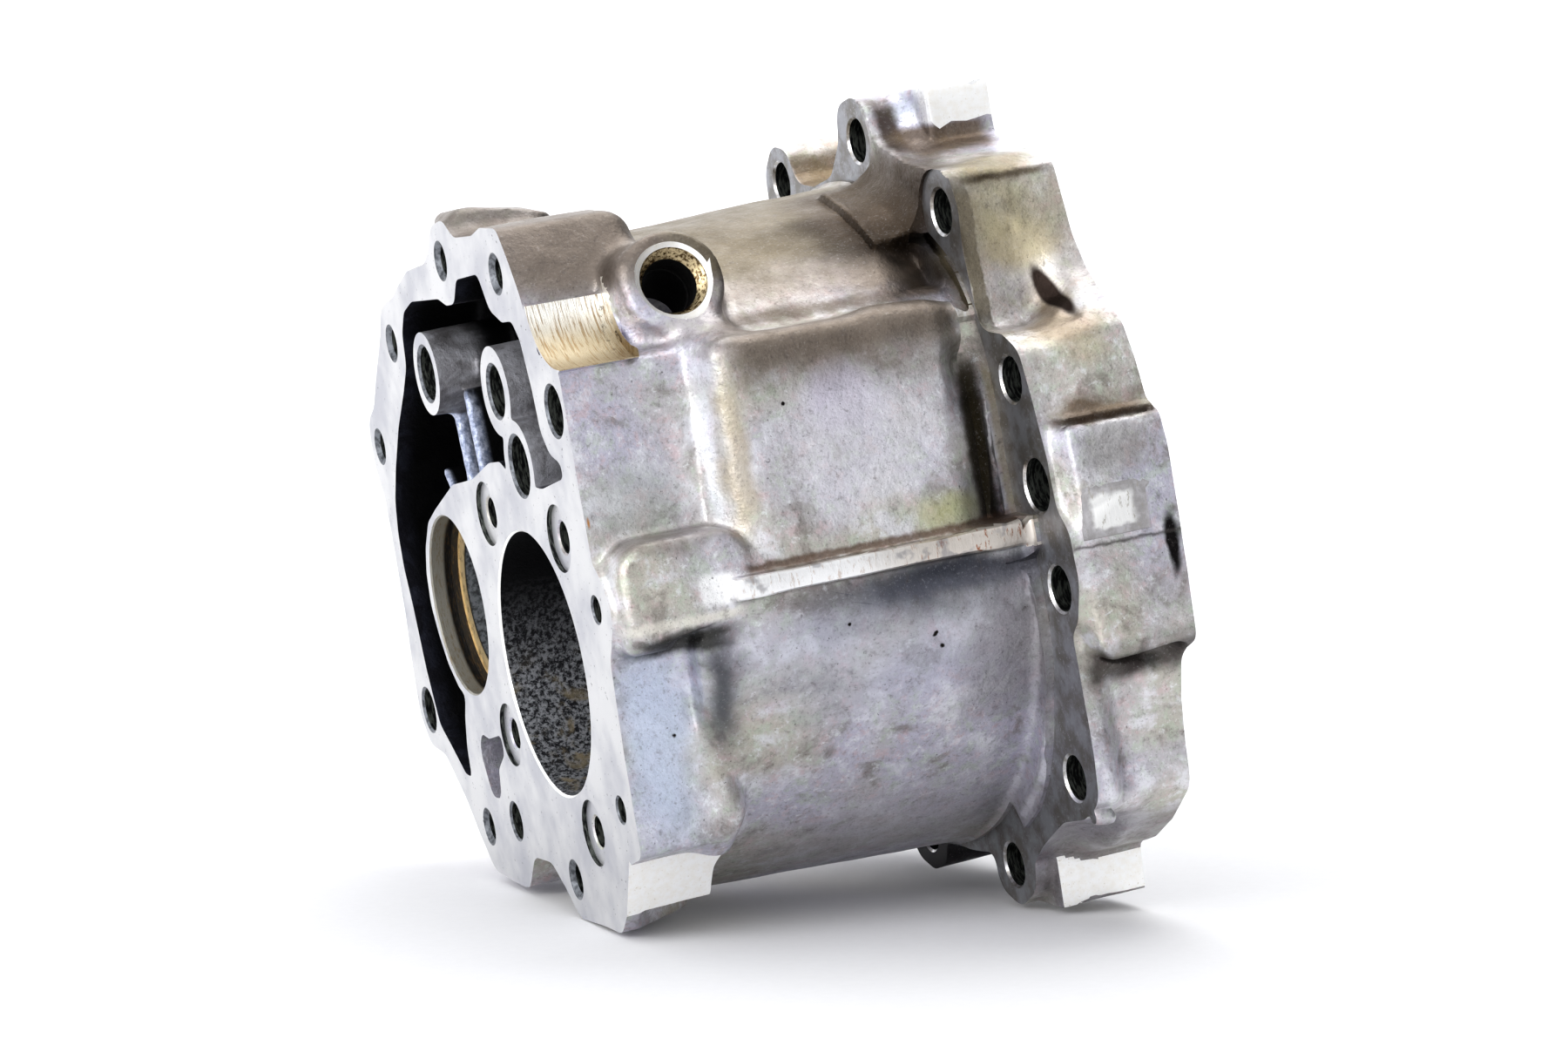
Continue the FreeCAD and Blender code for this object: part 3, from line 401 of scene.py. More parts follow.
# Ledge, block behind the joint face.
add(lambda x, y, z: rbox(x, y, z, (30, -77.0, 15.6), (126, -60, 21.2), 0.8),
    (30, -77, 15), (126, -60, 22), 2.2)
def block_shape(x, y, z):
    low = 8.2 + 3.6 * ramp(x, 8.0, 32.0)
    d = np.sqrt(np.maximum(np.abs(x - 19.6) - 9.0, 0) ** 2
                + np.maximum(np.abs(z - (34.3 + low) / 2) - (34.3 - low) / 2 + 8.6, 0) ** 2) - 8.6
    return extrude(d, y, -71.8, -50, 3.0 - 1.6 * ramp(-z, -18.0, -11.0))


add(block_shape, (1, -72, 7), (38, -50, 35), 2.5)
add(lambda x, y, z: rbox(x, y, z, (2.4, -69.4, 6.2), (15, -55, 18.0), 2.6),
    (2, -71, 5), (22, -55, 18), 2.5)
# Port boss with its skirt running down to the panel.
PT = math.radians(17.5)
PORT = np.array([37.4, -48.0, 96.6])
PDIR = np.array([0.0, -math.cos(PT), math.sin(PT)])
add(lambda x, y, z: rod(x, y, z, PORT, PORT - PDIR * 30, 13.6, 17.0, True, 1.6),
    (18, -52, 78), (56, -15, 118), 4.0)
add(lambda x, y, z: rod(x, y, z, PORT + (2, 8, -12), (44, -55, 74), 9.0, 8.0),
    (26, -66, 64), (56, -30, 100), 5.0)
# Raw metal behind the milled scallop.
add(lambda x, y, z: rbox(x, y, z, (23.0, -47.0, 80.0), (36, -25, 104), 5.0),
    (22, -48, 78), (37, -25, 105), 5.0)
# Metal that the scallop mill takes away.
add(lambda x, y, z: np.maximum(np.maximum(np.abs(np.sqrt((y + 57.0) ** 2 + (z - 100.0) ** 2) - 19.5) - 1.5,
                                          np.maximum(x - 21.8, -x - 2.0)),
                               np.maximum(z - 96.5, np.maximum(79.0 - z, -(y + 57.5)))),
    (-2, -58, 79), (22, -36, 97), 0.5)
# Metal for the milled facet of the foot.
FA, FB = np.array([-46.9, -49.0]), np.array([-38.2, -62.9])
FU = (FB - FA) / np.linalg.norm(FB - FA)
FN = np.array([FU[1], -FU[0]])
add(lambda x, y, z: np.maximum(np.maximum(np.abs((y - FA[0]) * FN[0] + (z - FA[1]) * FN[1]) - 1.4,
                                          np.abs((y - FA[0]) * FU[0] + (z - FA[1]) * FU[1] - 8.2) - 8.6),
                               np.maximum(x - 23.4, -x - 3.0)),
    (-3, -50, -66), (24, -34, -46), 0.6)
# Corner bump of the lower case, above the foot.
add(lambda x, y, z: rod(x, y, z, (25.0, -53.6, -39.0), (22.8, -47.8, -50.0), 5.0, 3.6),
    (16, -64, -58), (32, -40, -28), 5.0)


def noise3(x, y, z, seed, scale, count=7):
    rng = np.random.default_rng(seed)
    out = 0.0
    for _ in range(count):
        k = rng.normal(size=3)
        k = k / np.linalg.norm(k) * (2 * math.pi / scale) * rng.uniform(0.6, 1.5)
        out = out + np.sin(k[0] * x + k[1] * y + k[2] * z + rng.uniform(0, 6.28))
    return out / count


# The raw skin is slightly uneven.
s = (slice(None), slice(None), slice(None))
x, y, z = axes_of(s)
F += (0.35 * noise3(x, y, z, 11, 38.0, 5) + 0.16 * noise3(x, y, z, 12, 14.0, 5)).astype(np.float32)

# Inside: rear space, space behind the plate, front hollow.
s = part_of((25, -80, -80), (REARX + 6, 120, 120), 4)
x, y, z = axes_of(s)
d = np.sqrt((y - CY) ** 2 + (z - CZ) ** 2) - 80.5
F[s] = -smin(-F[s], extrude(d, x, 37.0, 170.0, 4.0).astype(np.float32), 1.0)
s = part_of((14, -60, -70), (34, 100, 60), 4)
x, y, z = axes_of(s)
F[s] = -smin(-F[s], extrude(of_grid(D_BEHIND, s) + 6.0, x, 16.0, 40.0, 2.0).astype(np.float32), 1.0)
s = part_of((-6, -60, -60), (26, 140, 115), 4)
x, y, z = axes_of(s)
F[s] = -smin(-F[s], extrude(of_grid(D_HOLLOW, s), x, -20.0, 24.0, 3.0).astype(np.float32), 0.5)
# Bearing wall, posts and webs.
add(lambda x, y, z: extrude(np.sqrt(y ** 2 + z ** 2) - 43.0, x, 2.0, 44.0, 1.5),
    (2, -43, -43), (44, 43, 43), 2.0)
for key, rad in (("j", 12.2), ("k", 11.9), ("i", 12.3)):
    py, pz = HOLES[key]
    add(lambda x, y, z: extrude(np.sqrt((y - py) ** 2 + (z - pz) ** 2) - rad
                                - np.clip(x, 0, 26) * 0.03, x, -3.0, 27.0, 0.5),
        (-3, py - rad, pz - rad), (27, py + rad, pz + rad), 1.5)


def web(a, b, half, top):
    a, b = np.array(a, float), np.array(b, float)

    def fn(x, y, z):
        e = b - a
        t = np.clip(((y - a[0]) * e[0] + (z - a[1]) * e[1]) / (e @ e), 0, 1)
        d = np.sqrt((y - a[0] - e[0] * t) ** 2 + (z - a[1] - e[1] * t) ** 2) - half
        return extrude(d, x, top, 27.0, 1.2)
    add(fn, (top, min(a[0], b[0]) - half, min(a[1], b[1]) - half),
        (27, max(a[0], b[0]) + half, max(a[1], b[1]) + half), 2.5)


web((67.6, 70.0), (63.4, 42.0), 1.3, 6.0)
web((53.8, 72.0), (49.6, 43.0), 1.3, 6.0)
web((95.3, 48.0), (80.5, 33.0), 1.4, 8.0)
web((74.0, 79.6), (9.0, 76.0), 2.2, 12.0)

# ---------------------------------------------------------------- skin from the field
import openvdb
grid = openvdb.FloatGrid(3.0)
grid.copyFromArray(np.clip(F / VOX, -3.0, 3.0))
pts, tris, quads = grid.convertToPolygons(isovalue=0.0, adaptivity=0.0)
del F, grid
pts = pts * VOX + LO
pts = np.asarray(pts, float)
mesh = bpy.data.meshes.new("casting_skin")
faces = [tuple(q[::-1]) for q in quads.tolist()] + [tuple(q[::-1]) for q in tris.tolist()]
mesh.from_pydata(to_row(pts).tolist(), [], faces)
mesh.update()


def signed_volume(me):
    me.calc_loop_triangles()
    co = np.empty(len(me.vertices) * 3)
    me.vertices.foreach_get("co", co)
    co = co.reshape(-1, 3)
    tri = np.empty(len(me.loop_triangles) * 3, np.int32)
    me.loop_triangles.foreach_get("vertices", tri)
    a, b, c = (co[tri.reshape(-1, 3)[:, i]] for i in range(3))
    return float((a * np.cross(b, c)).sum() / 6)


if signed_volume(mesh) < 0:
    mesh.flip_normals()
    mesh.update()
skin = bpy.data.objects.new("casting", mesh)
bpy.context.scene.collection.objects.link(skin)
print("skin faces", len(mesh.polygons))


def apply(obj):
    bpy.context.view_layer.update()
    dg = bpy.context.evaluated_depsgraph_get()
    new = bpy.data.meshes.new_from_object(obj.evaluated_get(dg))
    obj.modifiers.clear()
    old = obj.data
    obj.data = new
    bpy.data.meshes.remove(old)


target = 120000
have = sum(len(p.vertices) - 2 for p in skin.data.polygons)
if have > target:
    mod = skin.modifiers.new("decimate", "DECIMATE")
    mod.ratio = target / have
    apply(skin)
print("raw volume mm3", round(signed_volume(skin.data) * 1e9))
print("skin triangles", sum(len(p.vertices) - 2 for p in skin.data.polygons))

# ---------------------------------------------------------------- machining
cutters = bpy.data.collections.new("cutters")
bpy.context.scene.collection.children.link(cutters)


def link_cutter(name, bm):
    me = bpy.data.meshes.new(name)
    bmesh.ops.triangulate(bm, faces=[f for f in bm.faces if len(f.verts) > 4])
    bmesh.ops.recalc_face_normals(bm, faces=bm.faces)
    bm.to_mesh(me)
    bm.free()
    co = np.array([v.co[:] for v in me.vertices])
    me.vertices.foreach_set("co", to_row(co).astype(np.float32).ravel())
    me.update()
    if signed_volume(me) < 0:
        me.flip_normals()
    ob = bpy.data.objects.new(name, me)
    cutters.objects.link(ob)
    return ob


def lathe(name, origin, axis, profile, seg=48):
    """A turned cutter: profile is (distance along the axis, radius)."""
    o, a = np.asarray(origin, float), np.asarray(axis, float)
    a = a / np.linalg.norm(a)
    u = np.cross(a, (0, 1, 0) if abs(a[1]) < 0.9 else (0, 0, 1))
    u = u / np.linalg.norm(u)
    v = np.cross(a, u)
    bm = bmesh.new()
    rings = []
    for t, r in profile:
        rings.append([bm.verts.new(o + a * t + r * (math.cos(k * 2 * math.pi / seg) * u
                                                    + math.sin(k * 2 * math.pi / seg) * v))
                      for k in range(seg)])
    for p, q in zip(rings, rings[1:]):
        for k in range(seg):
            bm.faces.new((p[k], p[(k + 1) % seg], q[(k + 1) % seg], q[k]))
    bm.faces.new(rings[0])
    bm.faces.new(rings[-1][::-1])
    return link_cutter(name, bm)


def block(name, lo, hi):
    bm = bmesh.new()
    bmesh.ops.create_cube(bm, size=1.0)
    for vert in bm.verts:
        for i in range(3):
            vert.co[i] = lo[i] + (vert.co[i] + 0.5) * (hi[i] - lo[i])
    return link_cutter(name, bm)


def face_hole(key, r, depth, sink=None, chamfer=0.8, tip=True):
    y, z = HOLES[key]
    prof = []
    if sink:
        prof += [(-4, sink[0]), (sink[1], sink[0]), (sink[1], r + 0.5), (sink[1] + 0.5, r)]
    else:
        prof += [(-4, r + chamfer + 4), (0, r + chamfer), (chamfer, r)]
        prof = [(-1, r + chamfer + 1), (chamfer, r)]
    prof += [(depth, r)]
    if tip:
        prof += [(depth + r * 0.5, 0.05)]
    lathe("hole_" + key, (0, y, z), (1, 0, 0), prof, 40)


block("front_plane", (-40, -160, -160), (0, 190, 190))
block("rear_plane", (REARX, -160, -160), (190, 190, 190))
lathe("main_bore", (0, 0, 0), (1, 0, 0), [(-2, 38.2), (0.6, 36.0), (60, 36.0)], 128)
sy, sz = 75.0, 11.4
lathe("small_bore", (0, sy, sz), (1, 0, 0), [(-2, 28.0), (0.5, 26.0), (4.6, 26.0), (4.6, 27.5),
      (6.5, 27.5), (6.5, 26.0), (9.0, 26.0), (9.0, 22.0), (60, 22.0)], 112)
# Machined lug faces: everything outside the barrel's foot, in front of the lug plane.
inner = [(-58.5, 74.0), (-61.6, 66.0), (-63.9, 52.0), (-64.6, 38.0), (-65.6, 27.0), (-66.4, 22.6),
         (-78.6, 22.2), (-78.6, 14.4), (-74.0, 11.0), (-75.8, -7.3), (-75.2, -16.0), (-71.9, -26.0),
         (-67.7, -38.0), (-61.0, -49.6), (-52.6, -58.6), (-42.3, -64.7)]
ang_in = [math.degrees(math.atan2(b - CZ, a - CY)) % 360 for a, b in inner]
rad_in = [math.hypot(b - CZ, a - CY) for a, b in inner]
face_in = [(121.8, 96.0), (127.0, 96.6), (131.0, 97.4), (137.0, 98.4), (143.0, 97.2), (146.4, 95.6)]


def ring_cut(name, x0, x1, inner_at, outer_at, first, last):
    bm = bmesh.new()
    loops = []
    steps = int(round((last - first) * 2))
    for k in range(steps + 1):
        th = first + (last - first) * k / steps
        c, sn = math.cos(math.radians(th)), math.sin(math.radians(th))
        loops.append([bm.verts.new((xx, CY + q * c, CZ + q * sn)) for xx, q in
                      ((x1, inner_at(th)), (x1, outer_at(th)), (x0, outer_at(th)), (x0, inner_at(th)))])
    for p, q in zip(loops, loops[1:]):
        for m in range(4):
            bm.faces.new((p[m], q[m], q[(m + 1) % 4], p[(m + 1) % 4]))
    bm.faces.new(loops[0])
    bm.faces.new(loops[-1][::-1])
    link_cutter(name, bm)


def inner_ring(th):
    th = th % 360
    if 121.4 <= th < ang_in[0]:
        return float(np.interp(th, [q[0] for q in face_in], [q[1] for q in face_in]))
    if ang_in[0] <= th <= ang_in[-1]:
        return float(np.interp(th, ang_in, rad_in))
    return 95.0


ring_cut("lug_plane", LUG - 9.0, LUG, inner_ring, lambda th: 190.0, 130.6, 360.0 + 97.5)
for key, q in (("two", 11.9), ("three", 11.6)):
    lathe("lug_disc_" + key, (LUG - 9.0, HOLES[key][0], HOLES[key][1]), (1, 0, 0), [(0, q), (9.0, q)], 96)
ring_cut("lug_step", LUG - 5.0, LUG + 1.2, lambda th: 93.2, lambda th: inner_ring(th) - 0.01, 124.0, 145.5)
block("facet_five", (117.0, -110, 15.6), (136.4, -96.95, 28.8))
bm = bmesh.new()
ring = [bm.verts.new((xx, *(FA + FU * uu + FN * nn))) for xx in (-8, 40)
        for uu, nn in ((-1.2, 0.0), (17.8, 0.0), (17.8, 7.0), (-1.2, 7.0))]
for q4 in ((0, 1, 2, 3), (7, 6, 5, 4), (0, 4, 5, 1), (1, 5, 6, 2), (2, 6, 7, 3), (3, 7, 4, 0)):
    bm.faces.new([ring[k] for k in q4])
link_cutter("facet_foot", bm)
for key in ("a", "b", "c", "d", "p", "s"):
    face_hole(key, 4.25, 17.5, chamfer=1.4)
for key in ("g", "r"):
    face_hole(key, 3.4, 13, chamfer=0.5)
for key in ("f", "h", "n", "q"):
    face_hole(key, 4.25, 17, sink=(9.0, 1.3))
for key in ("e", "l"):
    face_hole(key, 6.5, 20, chamfer=0.7, tip=False)
face_hole("o", 5.3, 34, chamfer=0.6, tip=False)
for key, r in (("j", 7.0), ("k", 7.7), ("i", 8.0)):
    face_hole(key, r, 20, chamfer=0.8, tip=False)
for key in ("one", "two", "three", "four", "six", "eight", "nine", "ten", "eleven",
            "twelve", "thirteen"):
    y, z = HOLES[key]
    lathe("lug_" + key, (LUG, y, z), (1, 0, 0), [(-4, 10.65), (0.65, 6.0), (50, 6.0)], 56)
y, z = HOLES["five"]
lathe("lug_five", (LUG, y, z), (1, 0, 0), [(-4, 11.65), (0.65, 7.0), (20, 7.0)], 56)
y, z = HOLES["seven"]
lathe("lug_seven", (LUG, y, z), (1, 0, 0), [(-4, 10.65), (0.65, 6.0), (9, 6.0)], 56)
# Keyhole oil opening.
bm = bmesh.new()
ring = rounded([(78.0, -32.0, 6), (74.0, -26.0, 5), (66.5, -27.0, 4), (53.5, -24.6, 2.5),
                (53.5, -30.4, 2.5), (61.5, -35.4, 3), (64.0, -44.4, 4.5), (72.6, -44.6, 4.5)], 1.0)
lower = [bm.verts.new((-3, p[0], p[1])) for p in ring]
upper = [bm.verts.new((19.5, p[0], p[1])) for p in ring]
for k in range(len(ring)):
    j = (k + 1) % len(ring)
    bm.faces.new((lower[k], lower[j], upper[j], upper[k]))
bm.faces.new(lower)
bm.faces.new(upper[::-1])
link_cutter("oil_slot", bm)
# Threaded port, cut with fine thread rings.
prof = [(-6, 14.0), (0.0, 10.2), (0.9, 9.1), (1.2, 8.9), (1.7, 9.4), (2.3, 8.6), (2.8, 9.0),
        (3.4, 8.2), (3.9, 8.6), (4.5, 7.8), (5.0, 7.3), (12.0, 7.0), (12.0, 6.6), (46, 6.6)]
lathe("port", PORT, -PDIR, prof, 80)
# Milled scallop below the upper corner of the joint face.
lathe("scallop", (-2, -57.0, 100.0), (1, 0, 0), [(0, 20.5), (23.5, 20.5)], 96)

solver_ok = False
mod = skin.modifiers.new("machining", "BOOLEAN")
mod.operation = "DIFFERENCE"
mod.operand_type = "COLLECTION"
mod.collection = cutters
mod.solver = "MANIFOLD"
apply(skin)
n = sum(len(p.vertices) - 2 for p in skin.data.polygons)
print("after machining", n, "volume mm3", round(signed_volume(skin.data) * 1e9))
for ob in list(cutters.objects):
    me = ob.data
    bpy.data.objects.remove(ob)
    bpy.data.meshes.remove(me)
bpy.data.collections.remove(cutters)

# ---------------------------------------------------------------- finishes
class Tree:
    """Short hand for building a node material in working millimetres."""

    def __init__(self, name, metallic=1.0, roughness=0.45):
        self.mat = bpy.data.materials.new(name)
        self.mat.use_nodes = True
        self.nt = self.mat.node_tree
        self.bsdf = self.nt.nodes["Principled BSDF"]
        self.bsdf.inputs["Metallic"].default_value = metallic
        self.bsdf.inputs["Roughness"].default_value = roughness
        tc = self.nt.nodes.new("ShaderNodeTexCoord")
        mp = self.nt.nodes.new("ShaderNodeMapping")
        mp.inputs["Rotation"].default_value = (0, TAU, 0)
        mp.inputs["Scale"].default_value = (1000, 1000, 1000)
        self.nt.links.new(tc.outputs["Object"], mp.inputs["Vector"])
        self.pos = mp.outputs["Vector"]

    def put(self, sock, value):
        if isinstance(value, bpy.types.NodeSocket):
            self.nt.links.new(value, sock)
        elif isinstance(value, (int, float)):
            sock.default_value = value
        else:
            v = tuple(value)
            sock.default_value = v if len(v) == len(sock.default_value) else v + (1.0,)

    def noise(self, size, detail=3.0, rough=0.55, warp=0.0, at=None, stretch=None, seed=0.0):
        pos = self.pos if at is None else at
        mp = self.nt.nodes.new("ShaderNodeMapping")
        mp.inputs["Location"].default_value = (seed * 17.3, seed * 9.1, seed * 5.7)
        sx = stretch or (1, 1, 1)
        mp.inputs["Scale"].default_value = tuple(1.0 / (size * v) for v in sx)
        self.nt.links.new(pos, mp.inputs["Vector"])
        n = self.nt.nodes.new("ShaderNodeTexNoise")
        n.inputs["Scale"].default_value = 1.0
        n.inputs["Detail"].default_value = detail
        n.inputs["Roughness"].default_value = rough
        n.inputs["Distortion"].default_value = warp
        self.nt.links.new(mp.outputs["Vector"], n.inputs["Vector"])
        return n.outputs["Fac"]

    def ramp(self, fac, lo, hi, a=0.0, b=1.0, smooth=True):
        m = self.nt.nodes.new("ShaderNodeMapRange")
        m.interpolation_type = "SMOOTHSTEP" if smooth else "LINEAR"
        self.put(m.inputs["Value"], fac)
        for k, v in (("From Min", lo), ("From Max", hi), ("To Min", a), ("To Max", b)):
            m.inputs[k].default_value = v
        return m.outputs["Result"]

    def math(self, op, a, b=0.0):
        m = self.nt.nodes.new("ShaderNodeMath")
        m.operation = op
        self.put(m.inputs[0], a)
        self.put(m.inputs[1], b)
        return m.outputs[0]

    def mix(self, fac, a, b, kind="MIX"):
        m = self.nt.nodes.new("ShaderNodeMix")
        m.data_type = "RGBA"
        m.blend_type = kind
        self.put(m.inputs["Factor"], fac)
        self.put(m.inputs[6], a)
        self.put(m.inputs[7], b)
        return m.outputs[2]

    def split(self, vec=None):
        m = self.nt.nodes.new("ShaderNodeSeparateXYZ")
        self.nt.links.new(self.pos if vec is None else vec, m.inputs[0])
        return m.outputs

    def warped(self, amount, size, seed=0.0):
        mp = self.nt.nodes.new("ShaderNodeMapping")
        mp.inputs["Location"].default_value = (seed * 3.1, seed * 7.7, seed)
        mp.inputs["Scale"].default_value = (1.0 / size,) * 3
        self.nt.links.new(self.pos, mp.inputs["Vector"])
        n = self.nt.nodes.new("ShaderNodeTexNoise")
        n.inputs["Scale"].default_value = 1.0
        n.inputs["Detail"].default_value = 3.0
        self.nt.links.new(mp.outputs["Vector"], n.inputs["Vector"])
        sub = self.nt.nodes.new("ShaderNodeVectorMath")
        sub.operation = "MULTIPLY_ADD"
        self.nt.links.new(n.outputs["Color"], sub.inputs[0])
        sub.inputs[1].default_value = (amount * 2,) * 3
        sub.inputs[2].default_value = (-amount,) * 3
        ad = self.nt.nodes.new("ShaderNodeVectorMath")
        ad.operation = "ADD"
        self.nt.links.new(self.pos, ad.inputs[0])
        self.nt.links.new(sub.outputs[0], ad.inputs[1])
        return ad.outputs[0]

    def blob(self, centre, radii, at=None, hard=0.35, turn=(0, 0, 0)):
        """1 inside an ellipsoid at centre, falling to 0 at its edge."""
        mp = self.nt.nodes.new("ShaderNodeMapping")
        mp.vector_type = "TEXTURE"
        mp.inputs["Location"].default_value = centre
        mp.inputs["Rotation"].default_value = turn
        mp.inputs["Scale"].default_value = radii
        self.nt.links.new(self.pos if at is None else at, mp.inputs["Vector"])
        ln = self.nt.nodes.new("ShaderNodeVectorMath")
        ln.operation = "LENGTH"
        self.nt.links.new(mp.outputs["Vector"], ln.inputs[0])
        return self.ramp(ln.outputs["Value"], hard, 1.0, 1.0, 0.0)

    def bump(self, height, distance_mm, strength=1.0, after=None):
        b = self.nt.nodes.new("ShaderNodeBump")
        b.inputs["Strength"].default_value = strength
        b.inputs["Distance"].default_value = distance_mm * 0.001
        self.put(b.inputs["Height"], height)
        if after is not None:
            self.nt.links.new(after, b.inputs["Normal"])
        return b.outputs["Normal"]

    def finish(self, color, roughness=None, normal=None, metallic=None):
        self.put(self.bsdf.inputs["Base Color"], color)
        if roughness is not None:
            self.put(self.bsdf.inputs["Roughness"], roughness)
        if metallic is not None:
            self.put(self.bsdf.inputs["Metallic"], metallic)
        if normal is not None:
            self.nt.links.new(normal, self.bsdf.inputs["Normal"])
        return self.mat


def lin(r, g, b, k=0.97):
    def f(c):
        c = c / 255.0
        return k * (c / 12.92 if c <= 0.04045 else ((c + 0.055) / 1.055) ** 2.4)
    return (f(r), f(g), f(b), 1.0)


def cast_zone(name, x_lo, x_hi):
    """The raw skin between two depths, with the stains, tints, painted shade and painted highlights that reach that
    zone.
    """
    stain_and_light_blobs = [q for q in STAINS_AND_PAINTED_LIGHT if q[0][0] + q[1][0] > x_lo - 7 and q[0][0] - q[1][0] < x_hi + 7]
    light_and_tint_bands = [q for q in PAINTED_LIGHT_AND_TINT_BANDS if q[0][1] + q[0][2] > x_lo - 7 and q[0][0] - q[0][2] < x_hi + 7]
    t = Tree(name, 0.88, 0.5)
    w = t.warped(4.5, 14.0, 1.0)
    big = t.noise(46.0, 2.0, 0.5, 0.3, seed=1)
    mid = t.noise(11.0, 5.0, 0.65, 0.3, seed=2)
    fine = t.noise(2.6, 5.0, 0.75, 0.2, seed=3)
    hue = t.noise(5.0, 4.0, 0.7, 0.2, seed=9)
    grit = t.noise(0.7, 3.0, 0.6, 0.0, seed=8)
    speck = t.noise(0.9, 2.0, 0.5, 0.0, seed=4)
    c = t.mix(t.ramp(big, 0.38, 0.64), lin(200, 198, 212), lin(196, 192, 182))
    c = t.mix(t.math("MULTIPLY", t.ramp(hue, 0.50, 0.66), 0.5), c, lin(194, 207, 188))
    c = t.mix(t.math("MULTIPLY", t.ramp(hue, 0.48, 0.33), 0.5), c, lin(214, 189, 192))
    c = t.mix(t.math("MULTIPLY", t.ramp(mid, 0.50, 0.66), 0.7), c, lin(236, 236, 242))
    c = t.mix(t.math("MULTIPLY", t.ramp(mid, 0.47, 0.32), 0.7), c, lin(142, 136, 130))
    c = t.mix(t.math("MULTIPLY", t.ramp(fine, 0.53, 0.70), 0.65), c, lin(240, 242, 244))
    for centre, radii, colour, amount in stain_and_light_blobs:
        f = t.blob(centre, radii, w, 0.40)
        c = t.mix(t.math("MULTIPLY", f, amount), c, lin(*colour))
    wx, wy, wz = t.split(w)
    pv = t.warped(0.9, 3.0, 5.0)
    px, py, pz = t.split(pv)
    for (xa, xb, sx), (za, zb, sz), (ya, yb), colour, amount in light_and_tint_bands:
        ux, uy, uz = (wx, wy, wz) if min(sx, sz) > 2.4 else (px, py, pz)
        f = t.math("MULTIPLY", t.ramp(ux, xa - sx, xa + sx), t.ramp(ux, xb + sx, xb - sx))
        f = t.math("MULTIPLY", f, t.math("MULTIPLY", t.ramp(uz, za - sz, za + sz),
                                         t.ramp(uz, zb + sz, zb - sz)))
        f = t.math("MULTIPLY", f, t.math("MULTIPLY", t.ramp(uy, ya - 4, ya + 4),
                                         t.ramp(uy, yb + 4, yb - 4)))
        c = t.mix(t.math("MULTIPLY", f, amount), c, lin(*colour))
    c = t.mix(t.math("MULTIPLY", t.ramp(fine, 0.47, 0.26), 0.5), c, lin(96, 90, 88))
    c = t.mix(t.math("MULTIPLY", t.ramp(grit, 0.44, 0.28), 0.3), c, lin(70, 66, 66))
    c = t.mix(t.math("MULTIPLY", t.ramp(grit, 0.56, 0.74), 0.10), c, lin(244, 244, 248))
    c = t.mix(t.math("MULTIPLY", t.ramp(speck, 0.70, 0.78), 0.6), c, lin(64, 58, 54))
    for centre, r in PITS:
        c = t.mix(t.blob(centre, (r, 3.0, r), pv, 0.5), c, lin(34, 30, 28))
    for centre, radii, turn, colour in MARKS_AND_PAINTED_SHADE:
        c = t.mix(t.blob(centre, radii, None, 0.6, turn), c, lin(*colour))
    rough = t.ramp(mid, 0.3, 0.7, 0.54, 0.38)
    h = t.math("ADD", t.math("MULTIPLY", t.noise(0.8, 3.0, 0.6, seed=5), 0.14),
               t.math("ADD", t.math("MULTIPLY", t.noise(3.2, 3.0, 0.6, seed=6), 0.42),
                      t.math("MULTIPLY", t.noise(11.0, 2.0, 0.5, seed=7), 1.0)))
    return t.finish(c, rough, t.bump(h, 1.0, 0.6))
